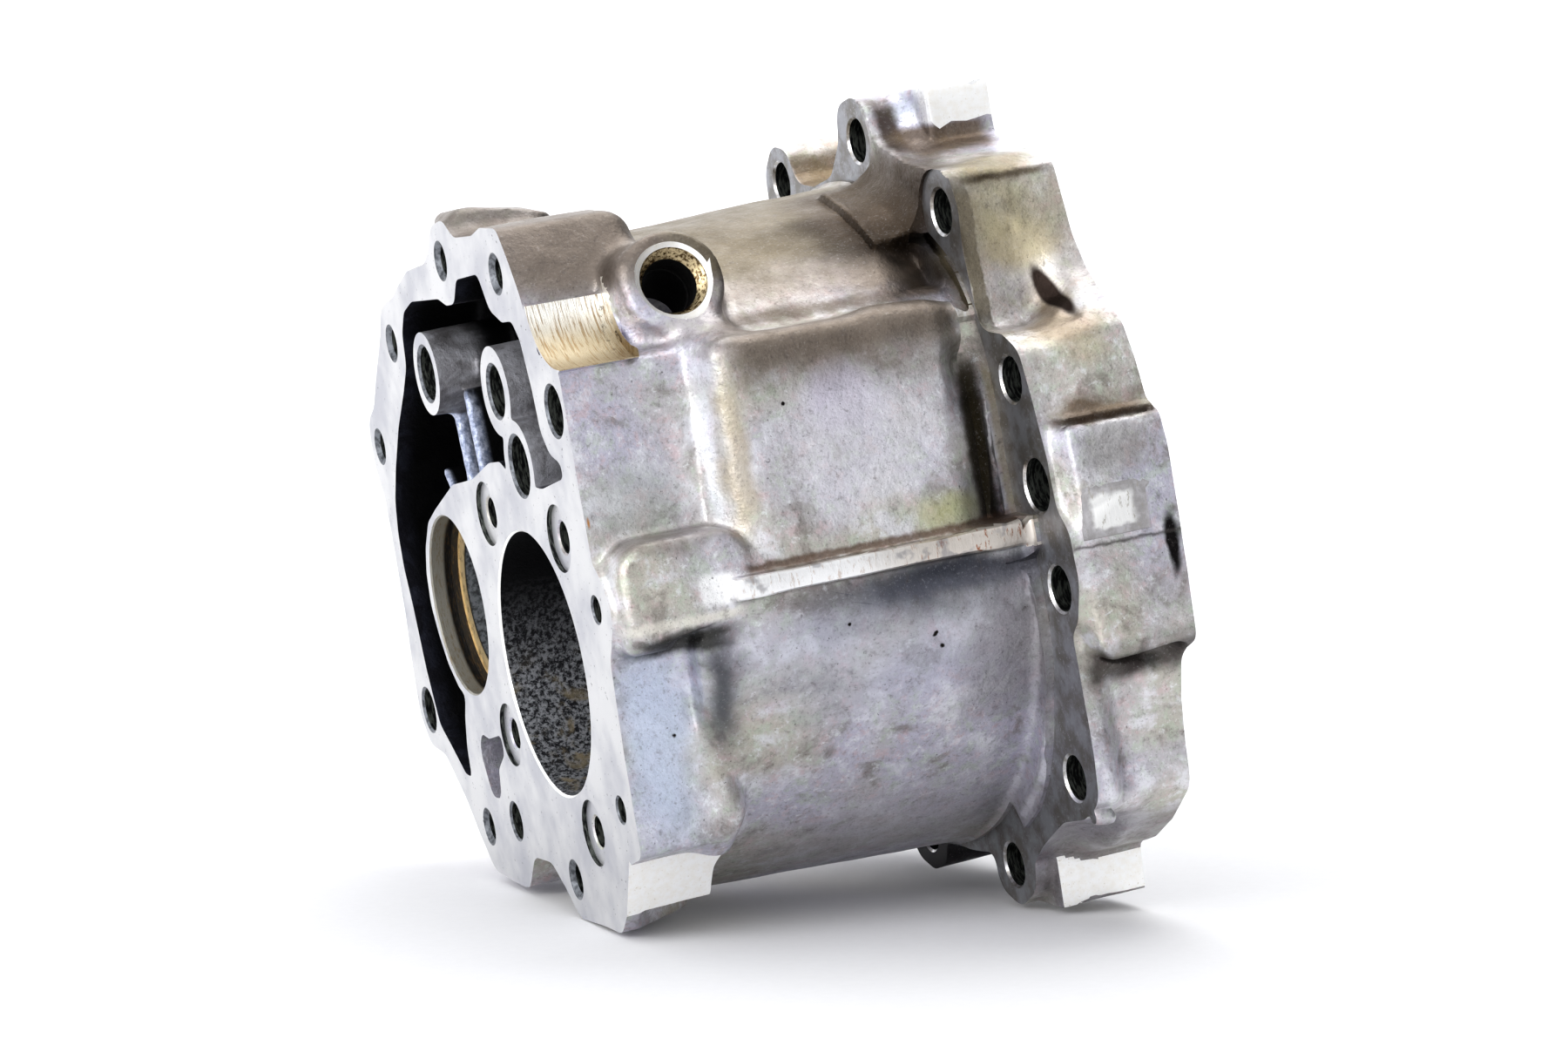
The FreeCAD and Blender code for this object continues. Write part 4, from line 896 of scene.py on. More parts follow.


# Bands of colour on the raw skin. Most are painted shade: darker tops, creases, recesses, hollows and the undersides
# of the ledge, lugs and humps. Some are painted highlights on walls, edges and facets. A few are the casting's own
# tints and its parting line.
PAINTED_LIGHT_AND_TINT_BANDS = [
    # (x from, to, softness), (z from, to, softness), (y from, to), tone, amount
    # painted shade: barrel top darker, in a brown tone
    ((40, 112, 14), (92, 118, 7), (-66, 150), (114, 104, 86), 0.9),
    # painted shade: dark recess where the upper barrel ramps down to the lug faces
    ((82, 118, 14), (83, 108, 4), (-66, -14), (48, 38, 28), 0.96),
    # painted shade: dark recess between the panel and the lug faces
    ((102.5, 110.5, 2.4), (20, 64, 4), (-82, -50), (50, 44, 30), 0.95),
    # painted highlight: light ridge of the barrel wall beside the lug faces
    ((111.6, 114.8, 0.8), (20, 62, 3), (-82, -50), (150, 138, 112), 0.7),
    # painted shade: panel darker below its top ridge
    ((40, 104, 5), (67, 88, 7), (-76, -56), (124, 114, 104), 0.85),
    # painted shade: dark band under the ledge
    ((58, 116, 26), (1, 15.4, 6), (-84, -60), (92, 94, 104), 0.75),
    # painted shade: darkest just under the ledge
    ((62, 116, 26), (9.5, 15.6, 3), (-84, -60), (58, 60, 68), 0.85),
    # painted shade: lower barrel darker towards the lugs
    ((98, 118, 12), (-30, 8, 10), (-90, -60), (146, 144, 150), 0.5),
    # painted shade: lower barrel darker towards its underside
    ((24, 126, 14), (-90, -56, 8), (-80, 20), (156, 154, 160), 0.3),
    # painted shade: dark concave zone behind the front case
    ((21.5, 29, 3.5), (-22, 6, 8), (-80, -48), (84, 86, 92), 0.9),
    # painted light: bluish-white lower front beside the joint face
    ((2, 15, 7), (-46, -2, 10), (-80, -40), (206, 216, 236), 0.5),
    # painted highlight: bright step wall at the panel's left edge
    ((32, 35.5, 2.5), (33, 76, 5), (-72, -58), (238, 242, 250), 0.7),
    # painted shade: brown band above the crease on the flange
    ((116, 146, 3), (45.5, 49.5, 2.6), (-98, -80), (124, 108, 90), 0.6),
    # painted shade: dark line in that crease
    ((116, 146, 3), (44.2, 46.4, 0.8), (-98, -80), (60, 46, 34), 0.85),
    # painted shade: dark under the lower lug hump
    ((115, 146, 3), (-22, -12.5, 2.5), (-98, -80), (60, 54, 52), 0.85),
    # painted shade: dark line in the upper groove of the flange
    ((118, 142, 4), (108.4, 110.2, 0.7), (-62, -40), (60, 48, 34), 0.9),
    ((114, 146, 1), (13.4, 14.2, 0.5), (-100, -86), (76, 72, 70), 0.85),
    # painted shade: dark band under the block
    ((6, 30, 7), (4.2, 9.6, 1.3), (-76, -50), (62, 62, 60), 0.95),
    # painted shade: top of the front case darker, this line and the next
    ((-4, 42, 4), (113, 132, 3), (-40, 150), (122, 114, 106), 0.85),
    ((-4, 38, 4), (96, 116, 5), (-50, 20), (124, 114, 106), 0.8),
    # painted shade: flange darker towards its underside
    ((113, 146, 3), (-92, -60, 4), (-90, -40), (120, 116, 120), 0.6),
    # painted shade: dark lower lugs on the far side
    ((110, 150, 3), (-94, -60, 3), (8, 60), (46, 44, 46), 0.95),
    # painted shade: dark crease above the panel's top ridge
    ((44, 110, 3), (81.0, 85.0, 1.6), (-72, -32), (84, 72, 60), 0.85),
    # painted light: lighter band just above that crease
    ((44, 110, 6), (84, 92, 3.5), (-72, -26), (160, 148, 136), 0.6),
    # painted shade: dark strip beside the lug faces
    ((113.9, 118, 0.3), (62, 108, 4), (-62, -20), (38, 30, 24), 1.0),
    # painted shade: barrel top dark where it meets the flange
    ((90, 119, 6), (100, 120, 5), (-48, 6), (84, 72, 60), 0.85),
    # painted shade: dark concave corner between the upper lug boss and the rib
    ((115.0, 121.5, 1.5), (106, 134, 4), (-24, 2), (60, 44, 28), 0.9),
    # painted highlight: bluish-white rib
    ((121.5, 126, 2), (112, 134, 4), (-26, -4), (206, 212, 232), 0.6),
    # painted shade: brown band on the lower part of the upper lug's squared end
    ((119, 142, 3), (116, 125.5, 1.5), (-30, -4), (112, 96, 78), 0.9),
    # painted shade: flange top between the lugs darker, in a brown tone
    ((113.8, 146, 1), (104, 124, 4), (4, 60), (116, 96, 64), 0.8),
    ((113, 146, 3), (72, 108, 4), (-72, -40), (186, 176, 154), 0.45),
    ((125, 147, 1), (126.0, 138, 1), (-30, -16), (253, 253, 253), 0.9),
    # painted highlight: light strip along the block's bottom edge
    ((2, 33, 3), (11.4, 14.0, 0.8), (-76, -60), (236, 232, 222), 0.7),
    # painted highlight: white facet on the block
    ((22.5, 31.5, 1.2), (15.5, 23.0, 1.2), (-76, -66), (252, 252, 252), 0.9),
    # painted shade: darker line along the block's top edge
    ((2, 34, 3), (32.0, 35.5, 1.6), (-76, -58), (150, 142, 136), 0.6),
    # painted shade: brown line in the corner above the ledge
    ((35, 112, 2), (21.4, 23.6, 0.7), (-80, -62), (112, 92, 78), 0.85),
]
# Small marks: thin dark lines and an orange spot, and the dark leaf in the hollow beside the upper lug hump, which is
# painted shade.
MARKS_AND_PAINTED_SHADE = [
    # painted shade: dark leaf of the hollow beside the upper lug hump
    ((133.4, -69.0, 78.0), (2.7, 30.0, 9.5), (0, -0.24, 0), (44, 35, 31)),
    ((14.5, -59.3, 62.0), (0.28, 1.5, 6.6), (0, 0.62, 0), (60, 56, 56)),
    ((0.9, -59.0, 40.5), (0.7, 2.0, 2.6), (0, 0, 0), (190, 134, 74)),
    ((62.0, -70.9, 11.0), (9.0, 1.5, 0.25), (0, 0.35, 0), (70, 70, 84)),
    ((66.0, -70.9, 8.0), (7.0, 1.5, 0.2), (0, 0.30, 0), (70, 70, 84)),
]
# Soft blobs of colour on the raw skin. Some are the casting's own stains and tints and a black residue. Others are
# painted shade in recesses, hollows, under the ledge and the block and over the tops, and painted light on the panel,
# the lower front and the block.
STAINS_AND_PAINTED_LIGHT = [
    # painted shade: broad darker tone over the top
    ((60, -20, 106), (90, 62, 22), (138, 130, 112), 0.85),
    ((70, -40, 94), (26, 14, 8), (196, 188, 180), 0.35),
    # painted shade: top of the front case darker
    ((20, -20, 110), (34, 60, 20), (128, 119, 108), 0.85),
    # painted shade: panel darker below its top ridge
    ((70, -66, 77), (48, 14, 9), (140, 128, 118), 0.85),
    ((92, -68, 27), (16, 10, 9), (192, 192, 142), 0.75),
    ((38, -69, 50), (6, 12, 32), (178, 168, 150), 0.8),
    ((68, -70, 60), (14, 8, 13), (200, 192, 216), 0.7),
    ((70, -66, -4), (60, 20, 22), (180, 182, 198), 0.5),
    # painted shade: lower barrel darker towards the lugs
    ((104, -66, -12), (22, 16, 26), (158, 154, 158), 0.55),
    # painted shade: slightly darker towards the underside
    ((80, -50, -58), (70, 50, 20), (190, 187, 194), 0.5),
    # painted light: panel face lighter
    ((70, -72, 48), (30, 10, 26), (236, 234, 238), 0.55),
    # painted shade: dark band under the ledge
    ((92, -76, 9.5), (44, 12, 6.0), (78, 80, 90), 0.85),
    # painted shade: dark recess between the panel and the lug faces
    ((105.5, -66, 42), (6.0, 14, 27), (52, 46, 32), 0.95),
    # painted shade: dark recess where the upper barrel ramps down to the lug faces
    ((106, -42, 92), (10, 20, 15), (34, 26, 18), 1.0),
    # painted shade: brown halo around the hollow by the upper lug hump
    ((131, -69, 78), (6.5, 13, 11), (110, 88, 68), 0.85),
    ((129, -62, 93), (15, 14, 11), (198, 184, 142), 0.7),
    ((131, -77, 62), (14, 12, 8), (204, 196, 166), 0.6),
    # painted shade: dark hollow under the lower lug hump
    ((131, -90, -16), (8, 9, 7), (50, 46, 46), 0.95),
    ((126, -58, 101), (14, 12, 9), (190, 182, 140), 0.5),
    # painted shade: flange top darker
    ((128, -52, 113), (18, 16, 8), (130, 118, 88), 0.8),
    # painted shade: dark below the upper lug's squared end
    ((133, -16, 119), (12, 14, 7), (70, 58, 44), 0.85),
    # painted shade: far flange top darker, in a brown tone
    ((122, 20, 118), (12, 40, 14), (110, 92, 58), 0.7),
    ((130, -76, 68), (17, 14, 6), (176, 160, 140), 0.8),
    # painted shade: brown band above the flange crease
    ((130, -88, 46.2), (17, 9, 2.6), (92, 76, 58), 0.8),
    ((130, -96, 38), (15, 8, 9), (156, 152, 146), 0.6),
    # painted light: bluish-white lower front
    ((10, -60, -16), (13, 14, 32), (212, 222, 242, 0.85), 0.7),
    # painted shade: dark concave zone behind the front case
    ((30, -60, 0), (12, 12, 8), (88, 88, 94), 0.7),
    # painted shade: dark under the block
    ((19, -68, 8.6), (17, 10, 2.6), (60, 58, 54), 0.8),
    # painted shade: darker along the block's top edge
    ((18, -68, 33), (14, 8, 4), (136, 128, 122), 0.7),
    # painted highlight: white facet on the block
    ((27, -71, 20), (4.5, 4, 5), (240, 240, 240), 0.8),
    ((14, -58, 44), (16, 8, 12), (186, 190, 188), 0.5),
    ((36, -50, 84), (16, 16, 7), (160, 152, 146), 0.6),
    ((141.5, -97, 11), (2.8, 4, 11), (26, 24, 24), 1.0),
]
PITS = [((57, -54.4, 99.5), 0.9), ((52.5, -70.6, 62.0), 0.7), ((14, -59.4, -17), 0.8),
        ((61, -70.3, 3.5), 0.7), ((84, -71.0, -3.5), 0.9), ((85.6, -70.8, -7.2), 1.0),
        ((71, -64, 88.0), 0.6), ((96, -70.8, 33.0), 0.6)]


def joint_face():
    t = Tree("joint_face", 0.55, 0.4)
    a = t.noise(1.1, 2.0, 0.5, seed=11)
    b = t.noise(20.0, 3.0, 0.6, seed=12)
    c = t.mix(t.ramp(b, 0.35, 0.7), lin(252, 252, 253, 0.60), lin(228, 229, 237, 0.56))
    c = t.mix(t.ramp(a, 0.69, 0.75), c, lin(90, 90, 96))
    return t.finish(c, t.ramp(b, 0.3, 0.7, 0.32, 0.42), t.bump(a, 0.08, 0.3))


def milled_patch():
    t = Tree("milled_patch", 0.9, 0.34)
    x, y, z = t.split()
    lines = t.noise(1.0, 4.0, 0.7, 0.3, stretch=(0.45, 9.0, 9.0), seed=21)
    fine = t.noise(1.0, 4.0, 0.7, 0.2, stretch=(1.2, 3.0, 3.0), seed=22)
    c = t.mix(t.ramp(z, 95.0, 84.0), lin(255, 253, 246, 0.95), lin(206, 192, 164, 0.78))
    c = t.mix(t.math("MULTIPLY", t.ramp(lines, 0.50, 0.62), 0.8), c, lin(150, 122, 82))
    c = t.mix(t.math("MULTIPLY", t.ramp(fine, 0.55, 0.7), t.ramp(x, 15.0, 20.5)), c, lin(60, 50, 42))
    return t.finish(c, 0.36, t.bump(lines, 0.35, 0.7))


def ledge_face():
    t = Tree("ledge_face", 0.9, 0.36)
    x, y, z = t.split()
    a = t.noise(1.0, 4.0, 0.7, 0.2, stretch=(1.2, 2.0, 4.0), seed=31)
    b = t.noise(7.0, 3.0, 0.6, seed=32)
    c = t.mix(t.math("MULTIPLY", t.ramp(a, 0.54, 0.66), 0.7), lin(253, 253, 253, 0.97), lin(206, 190, 178))
    red = t.math("MULTIPLY", t.ramp(a, 0.58, 0.68), t.ramp(x, 60.0, 95.0))
    c = t.mix(t.math("MULTIPLY", t.ramp(x, 58.0, 84.0), 0.75), c, lin(206, 196, 184))
    c = t.mix(red, c, lin(168, 116, 92))
    c = t.mix(t.math("MULTIPLY", t.ramp(b, 0.56, 0.66), 0.6), c, lin(150, 148, 152))
    return t.finish(c, 0.4, t.bump(a, 0.25, 0.5))


def lug_face():
    t = Tree("lug_face", 0.9, 0.42)
    a = t.noise(6.0, 4.0, 0.6, seed=41)
    b = t.noise(1.0, 3.0, 0.6, seed=42)
    x, y, z = t.split()
    c = t.mix(t.ramp(a, 0.35, 0.65), lin(164, 165, 170), lin(130, 127, 123))
    c = t.mix(t.math("MULTIPLY", t.ramp(b, 0.58, 0.72), 0.6), c, lin(196, 196, 200))
    # painted shade: lug faces on the far side below Z -48 to -60, near black
    c = t.mix(t.math("MULTIPLY", t.ramp(y, 2.0, 14.0), t.ramp(z, -48.0, -60.0)), c, lin(44, 43, 45))
    return t.finish(c, 0.44, t.bump(b, 0.06, 0.4))


def hollow_skin():
    t = Tree("hollow_skin", 0.7, 0.55)
    x, y, z = t.split()
    a = t.noise(8.0, 4.0, 0.65, 0.6, seed=51)
    b = t.noise(1.6, 4.0, 0.7, seed=52)
    c = t.mix(t.ramp(a, 0.42, 0.62), lin(30, 30, 38), lin(54, 56, 68))
    # painted shade: near black deeper than 7 mm into the hollow
    c = t.mix(t.ramp(x, 0.5, 7.0), c, lin(9, 9, 12))
    w = t.warped(1.2, 5.0, 53.0)
    # painted light: lighter tone on the posts
    painted_lit_tone = t.mix(t.ramp(a, 0.35, 0.65), lin(186, 186, 192), lin(140, 138, 140))
    painted_lit_tone = t.mix(t.math("MULTIPLY", t.ramp(b, 0.56, 0.7), 0.4), painted_lit_tone, lin(96, 94, 96))
    post = t.blob((4.0, 1.5, 73.9), (26, 15.5, 15.5), w, 0.82)
    for cy, cz in ((67.0, 78.7), (-8.7, 54.0)):
        post = t.math("MAXIMUM", post, t.blob((4.0, cy, cz), (26, 15.5, 15.5), w, 0.82))
    post = t.math("MULTIPLY", post, t.ramp(x, 20.0, 8.0))
    c = t.mix(post, c, painted_lit_tone)
    # painted highlight: bluish-white webs near the opening
    ribs = t.blob((8.0, 65.5, 57.0), (20, 2.9, 17), w, 0.8, (-0.16, 0, 0))
    for cy, cz, ln, turn in ((51.7, 57.5, 17, -0.16), (88.6, 41.2, 12, -0.78)):
        ribs = t.math("MAXIMUM", ribs, t.blob((8.0, cy, cz), (20, 2.9, ln), w, 0.8, (turn, 0, 0)))
    ribs = t.math("MULTIPLY", ribs, t.ramp(x, 10.5, 8.0))
    c = t.mix(ribs, c, t.mix(t.ramp(b, 0.35, 0.65), lin(214, 220, 238, 1.0), lin(150, 160, 186, 0.9)))
    return t.finish(c, t.ramp(a, 0.3, 0.7, 0.6, 0.42), t.bump(b, 0.5, 0.5))


def bore_wall():
    t = Tree("bore_wall", 0.7, 0.6)
    x, y, z = t.split()
    a = t.noise(1.3, 5.0, 0.75, 0.3, seed=61)
    b = t.noise(9.0, 4.0, 0.6, 0.5, seed=62)
    c = t.mix(t.ramp(a, 0.42, 0.60), lin(42, 42, 46), lin(168, 170, 174))
    c = t.mix(t.math("MULTIPLY", t.ramp(b, 0.5, 0.68), t.ramp(z, 5.0, -25.0)), c, lin(158, 146, 122))
    # painted shade: the upper part of the bore near black
    c = t.mix(t.ramp(z, -14.0, 24.0), c, lin(18, 18, 21))
    return t.finish(c, 0.6, t.bump(a, 0.35, 0.7))


def small_bore_wall():
    t = Tree("small_bore_wall", 0.55, 0.5)
    x, y, z = t.split()
    a = t.noise(1.0, 4.0, 0.7, stretch=(0.5, 3, 3), seed=71)
    # painted shade: darker past the counterbore face
    c = t.mix(t.ramp(x, 3.6, 4.7), lin(150, 148, 140), lin(60, 58, 56))
    c = t.mix(t.blob((8.9, 75, 11.4), (0.5, 40, 40), None, 0.9), c, lin(226, 204, 160))
    c = t.mix(t.math("MULTIPLY", t.ramp(a, 0.5, 0.66), 0.6), c, lin(120, 96, 60))
    g = t.noise(1.6, 4.0, 0.7, seed=72)
    c = t.mix(t.ramp(x, 9.3, 10.0), c, t.mix(t.ramp(g, 0.42, 0.62), lin(150, 154, 158), lin(88, 90, 92)))
    # painted shade: darker deeper in the bore
    c = t.mix(t.ramp(x, 22.0, 37.0), c, lin(62, 64, 68))
    return t.finish(c, 0.42, t.bump(a, 0.2, 0.5))


def hole_wall():
    t = Tree("hole_wall", 0.8, 0.45)
    x, y, z = t.split()
    a = t.noise(1.0, 3.0, 0.6, stretch=(0.6, 3, 3), seed=81)
    c = t.mix(t.ramp(a, 0.42, 0.6), lin(36, 37, 38), lin(108, 112, 106))
    return t.finish(c, 0.45, t.bump(a, 0.3, 0.6))


def bright_cut():
    t = Tree("bright_cut", 0.35, 0.36)
    a = t.noise(2.0, 3.0, 0.6, seed=91)
    b = t.noise(0.8, 3.0, 0.6, seed=92)
    c = t.mix(t.ramp(a, 0.35, 0.7), lin(255, 255, 254, 1.0), lin(252, 250, 245, 0.97))
    c = t.mix(t.math("MULTIPLY", t.ramp(b, 0.62, 0.74), 0.5), c, lin(196, 184, 160))
    return t.finish(c, 0.3, t.bump(a, 0.05, 0.3))


def rim_cut():
    t = Tree("rim_cut", 0.95, 0.26)
    a = t.noise(2.0, 3.0, 0.6, seed=93)
    c = t.mix(t.ramp(a, 0.4, 0.65), lin(214, 214, 216), lin(170, 166, 160))
    return t.finish(c, 0.28, t.bump(a, 0.08, 0.4))


def edge_cut():
    t = Tree("edge_cut", 0.8, 0.4)
    a = t.noise(1.4, 3.0, 0.6, seed=94)
    c = t.mix(t.ramp(a, 0.4, 0.65), lin(128, 131, 136), lin(84, 86, 90))
    return t.finish(c, 0.42, t.bump(a, 0.1, 0.4))


def rubbed_spot():
    t = Tree("rubbed_spot", 0.85, 0.44)
    w = t.warped(1.3, 3.0, 6.0)
    x, y, z = t.split(w)
    a = t.noise(1.0, 4.0, 0.7, 0.2, stretch=(1.0, 2.0, 4.0), seed=98)
    b = t.noise(2.6, 5.0, 0.7, 0.2, seed=99)
    f = t.math("MULTIPLY", t.ramp(x, 119.6, 121.4), t.ramp(x, 133.6, 131.0))
    f = t.math("MULTIPLY", f, t.math("MULTIPLY", t.ramp(z, 17.0, 18.4), t.ramp(z, 27.2, 25.4)))
    c = t.mix(t.ramp(b, 0.35, 0.68), lin(178, 175, 175), lin(204, 202, 204))
    c = t.mix(f, c, lin(255, 255, 253, 1.0))
    c = t.mix(t.math("MULTIPLY", t.ramp(a, 0.57, 0.66), 0.7), c, lin(176, 170, 158))
    return t.finish(c, 0.4, t.bump(a, 0.15, 0.4))


def port_thread():
    t = Tree("port_thread", 0.95, 0.3)
    a = t.noise(1.2, 4.0, 0.7, seed=95)
    c = t.mix(t.ramp(a, 0.42, 0.6), lin(190, 174, 140), lin(74, 58, 38))
    return t.finish(c, 0.32, t.bump(a, 0.1, 0.4))


def port_bore():
    t = Tree("port_bore", 0.3, 0.7)
    a = t.noise(1.5, 3.0, 0.6, seed=97)
    # painted shade: the port's bore deeper than 5 mm near black
    c = t.mix(t.ramp(a, 0.4, 0.7), lin(10, 10, 11), lin(34, 32, 31))
    return t.finish(c, 0.7, t.bump(a, 0.2, 0.4))


def rear_space():
    t = Tree("rear_space", 0.7, 0.5)
    a = t.noise(14.0, 4.0, 0.6, 0.5, seed=101)
    b = t.noise(1.8, 4.0, 0.7, seed=102)
    c = t.mix(t.ramp(a, 0.38, 0.64), lin(118, 118, 126), lin(160, 158, 158))
    c = t.mix(t.math("MULTIPLY", t.ramp(b, 0.55, 0.7), 0.5), c, lin(70, 68, 68))
    return t.finish(c, 0.5, t.bump(b, 0.4, 0.5))


def cast_skin():
    return cast_zone("cast_skin", -30.0, 36.0)


def cast_barrel():
    return cast_zone("cast_barrel", 36.0, 96.0)


def cast_shoulder():
    return cast_zone("cast_shoulder", 96.0, 115.0)


def cast_flange():
    return cast_zone("cast_flange", 115.0, 150.0)


FINISHES = [cast_skin, cast_barrel, cast_shoulder, cast_flange, joint_face, milled_patch, ledge_face, lug_face, hollow_skin, bore_wall,
            small_bore_wall, hole_wall, bright_cut, rim_cut, edge_cut, rubbed_spot, port_thread, port_bore, rear_space]
skin.data.materials.clear()
for make in FINISHES:
    skin.data.materials.append(make())
ID = {f.__name__: i for i, f in enumerate(FINISHES)}

me = skin.data
nf = len(me.polygons)
cen = np.empty(nf * 3)
nor = np.empty(nf * 3)
me.polygons.foreach_get("center", cen)
me.polygons.foreach_get("normal", nor)
cen = to_work(cen.reshape(-1, 3))
nor = to_work(nor.reshape(-1, 3) * 0.001)
X, Y, Z = cen.T
NX, NY, NZ = nor.T
RB = np.hypot(Y - CY, Z - CZ)


def grid_value(d2):
    iy = np.clip(((Y - LO[1]) / VOX).round().astype(int), 0, d2.shape[0] - 1)
    iz = np.clip(((Z - LO[2]) / VOX).round().astype(int), 0, d2.shape[1] - 1)
    return d2[iy, iz]


kind = np.zeros(nf, np.int32)
kind[X >= 36.0] = ID["cast_barrel"]
kind[X >= 96.0] = ID["cast_shoulder"]
kind[X >= 115.0] = ID["cast_flange"]
hollow = grid_value(D_HOLLOW)
kind[(hollow < 1.2) & (X < 27.0) & (X > 0.01)] = ID["hollow_skin"]
rad_dot = (NY * (Y - CY) + NZ * (Z - CZ)) / np.maximum(RB, 1e-6)
kind[(RB < 82.5) & (X > 35.5) & ((rad_dot < -0.25) | (NX > 0.5) | (RB < 62.0))] = ID["rear_space"]
kind[(X > REARX - 0.05)] = ID["joint_face"]
kind[(np.abs(X) < 0.05) & (NX < -0.9)] = ID["joint_face"]
lugmask = (np.abs(X - LUG) < 0.02) & (NX < -0.99)
kind[lugmask] = ID["lug_face"]
sc = np.hypot(Y + 57.0, Z - 100.0)
kind[(np.abs(sc - 20.5) < 0.12) & (X > 0.02) & (X < 21.6) & (Z < 96.3)] = ID["milled_patch"]
kind[(np.abs(X - 21.5) < 0.06) & (sc < 20.6) & (NX < -0.9)] = ID["milled_patch"]
kind[(Y < -75.6) & (Z > 14.6) & (Z < 22.0) & (X < 113.0)] = ID["ledge_face"]
rm = np.hypot(Y, Z)
kind[(rm < 36.05) & (X > 0.02) & (X < 45)] = ID["bore_wall"]
kind[(rm < 37.0) & (X <= 0.62) & (X > 0.01)] = ID["bright_cut"]
rs = np.hypot(Y - 75.0, Z - 11.4)
kind[(rs < 27.7) & (X > 0.01) & (X < 60) & (rs > 21.8) & ((X < 9.2) | (np.abs(NX) < 0.5))] = ID["small_bore_wall"]
for key, (hy, hz) in HOLES.items():
    r = np.hypot(Y - hy, Z - hz)
    if len(key) > 1:
        rad = 7.0 if key == "five" else 6.0
        end = LUG + {"five": 20.0, "seven": 9.0}.get(key, 50.0)
        inward = (NY * (Y - hy) + NZ * (Z - hz)) / np.maximum(r, 1e-6) < -0.9
        inside = ((np.abs(r - rad) < 0.12) & (X > LUG + 0.55) & inward) | ((r < rad) & (np.abs(X - end) < 0.02))
        lip_ = (r < rad + 0.95) & (X > LUG + 0.01) & (X < LUG + 0.75) & (np.abs(NX + 0.707) < 0.25)
    else:
        rad = {"g": 3.4, "r": 3.4, "e": 6.5, "l": 6.5, "o": 5.3, "j": 7.0, "k": 7.7, "i": 8.0}.get(key, 4.25)
        end = {"g": 15.0, "r": 15.0, "o": 34.2}.get(key, 20.2)
        inward = (NY * (Y - hy) + NZ * (Z - hz)) / np.maximum(r, 1e-6) < -0.5
        inside = (r < rad + 0.12) & (X > 0.6) & (X < end) & (inward | ((NX < -0.5) & (X > end - 3.5)))
        lip_ = (r < rad + 1.6) & (X > 0.01) & (X < 1.42) & (NX < -0.2)
        if key in "fhnq":
            kind[(r < 9.1) & (X > 1.25) & (X < 1.35)] = ID["joint_face"]
            kind[(r > 8.9) & (r < 9.1) & (X > 0.02) & (X < 1.28)] = ID["hole_wall"]
    kind[inside] = ID["hole_wall"]
    kind[lip_] = ID["rim_cut" if len(key) > 1 else "edge_cut"]
q = cen - PORT
tp = -(q @ PDIR)
rp = np.sqrt(np.maximum((q ** 2).sum(1) - tp ** 2, 0))
pp = np.array(prof)
dp = np.full(nf, 1e9)
for (t_a, r_a), (t_b, r_b) in zip(pp, pp[1:]):
    e2 = (t_b - t_a) ** 2 + (r_b - r_a) ** 2
    w = np.clip(((tp - t_a) * (t_b - t_a) + (rp - r_a) * (r_b - r_a)) / e2, 0, 1)
    dp = np.minimum(dp, np.hypot(tp - t_a - w * (t_b - t_a), rp - r_a - w * (r_b - r_a)))
kind[(dp < 0.06) & (tp <= 0.91) & (rp < 12.5)] = ID["bright_cut"]
kind[(dp < 0.06) & (tp > 0.91) & (tp <= 5.0)] = ID["port_thread"]
kind[(dp < 0.06) & (tp > 5.0)] = ID["port_bore"]
# Facet of the foot, bright spots of the ledge's end and of the squared lugs.
fd = (Y - FA[0]) * FN[0] + (Z - FA[1]) * FN[1]
facet = (np.abs(fd) < 0.02) & (NY * FN[0] + NZ * FN[1] > 0.99) & (X < 26) & (Z < -46)
kind[facet] = ID["bright_cut"]
kind[(np.abs(Y + 96.95) < 0.02) & (NY < -0.99) & (X < 136.5) & (Z > 15.5) & (Z < 28.9)] = ID["rubbed_spot"]
kind[(NY < -0.96) & (X > 125) & (Y < -20.5) & (Y > -23) & (Z > 125.5)] = ID["bright_cut"]
kind[(NY < -0.96) & (X > 119) & (Y < -43) & (Z < -73.5)] = ID["bright_cut"]
me.polygons.foreach_set("material_index", kind)
me.polygons.foreach_set("use_smooth", [True] * nf)
me.set_sharp_from_angle(angle=math.radians(32))
me.update()
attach(skin, "root")
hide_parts("housing")

# ---------------------------------------------------------------- floor, light, camera
FLOOR_Z = -0.0699
bm = bmesh.new()
prof = [(-2.2, FLOOR_Z)] + [(1.3 + 0.9 * math.sin(a), FLOOR_Z + 0.9 * (1 - math.cos(a)))
                            for a in np.linspace(0, math.pi / 2, 25)] + [(2.2, 3.2)]
cols = []
for xx in (-6.0, 8.0):
    cols.append([bm.verts.new((xx, yy, zz)) for yy, zz in prof])
for k in range(len(prof) - 1):
    bm.faces.new((cols[0][k], cols[0][k + 1], cols[1][k + 1], cols[1][k]))
bmesh.ops.recalc_face_normals(bm, faces=bm.faces)
fmesh = bpy.data.meshes.new("floor")
bm.to_mesh(fmesh)
bm.free()
fmesh.polygons.foreach_set("use_smooth", [True] * len(fmesh.polygons))
floor = bpy.data.objects.new("floor", fmesh)
bpy.context.scene.collection.objects.link(floor)
fm = bpy.data.materials.new("floor_paper")
fm.use_nodes = True
fb = fm.node_tree.nodes["Principled BSDF"]
ftc = fm.node_tree.nodes.new("ShaderNodeTexCoord")
fno = fm.node_tree.nodes.new("ShaderNodeTexNoise")
fno.inputs["Scale"].default_value = 420.0
fno.inputs["Detail"].default_value = 4.0
fm.node_tree.links.new(ftc.outputs["Object"], fno.inputs["Vector"])
fmx = fm.node_tree.nodes.new("ShaderNodeMix")
fmx.data_type = "RGBA"
fm.node_tree.links.new(fno.outputs["Fac"], fmx.inputs["Factor"])
fmx.inputs[6].default_value = (0.77, 0.77, 0.78, 1)
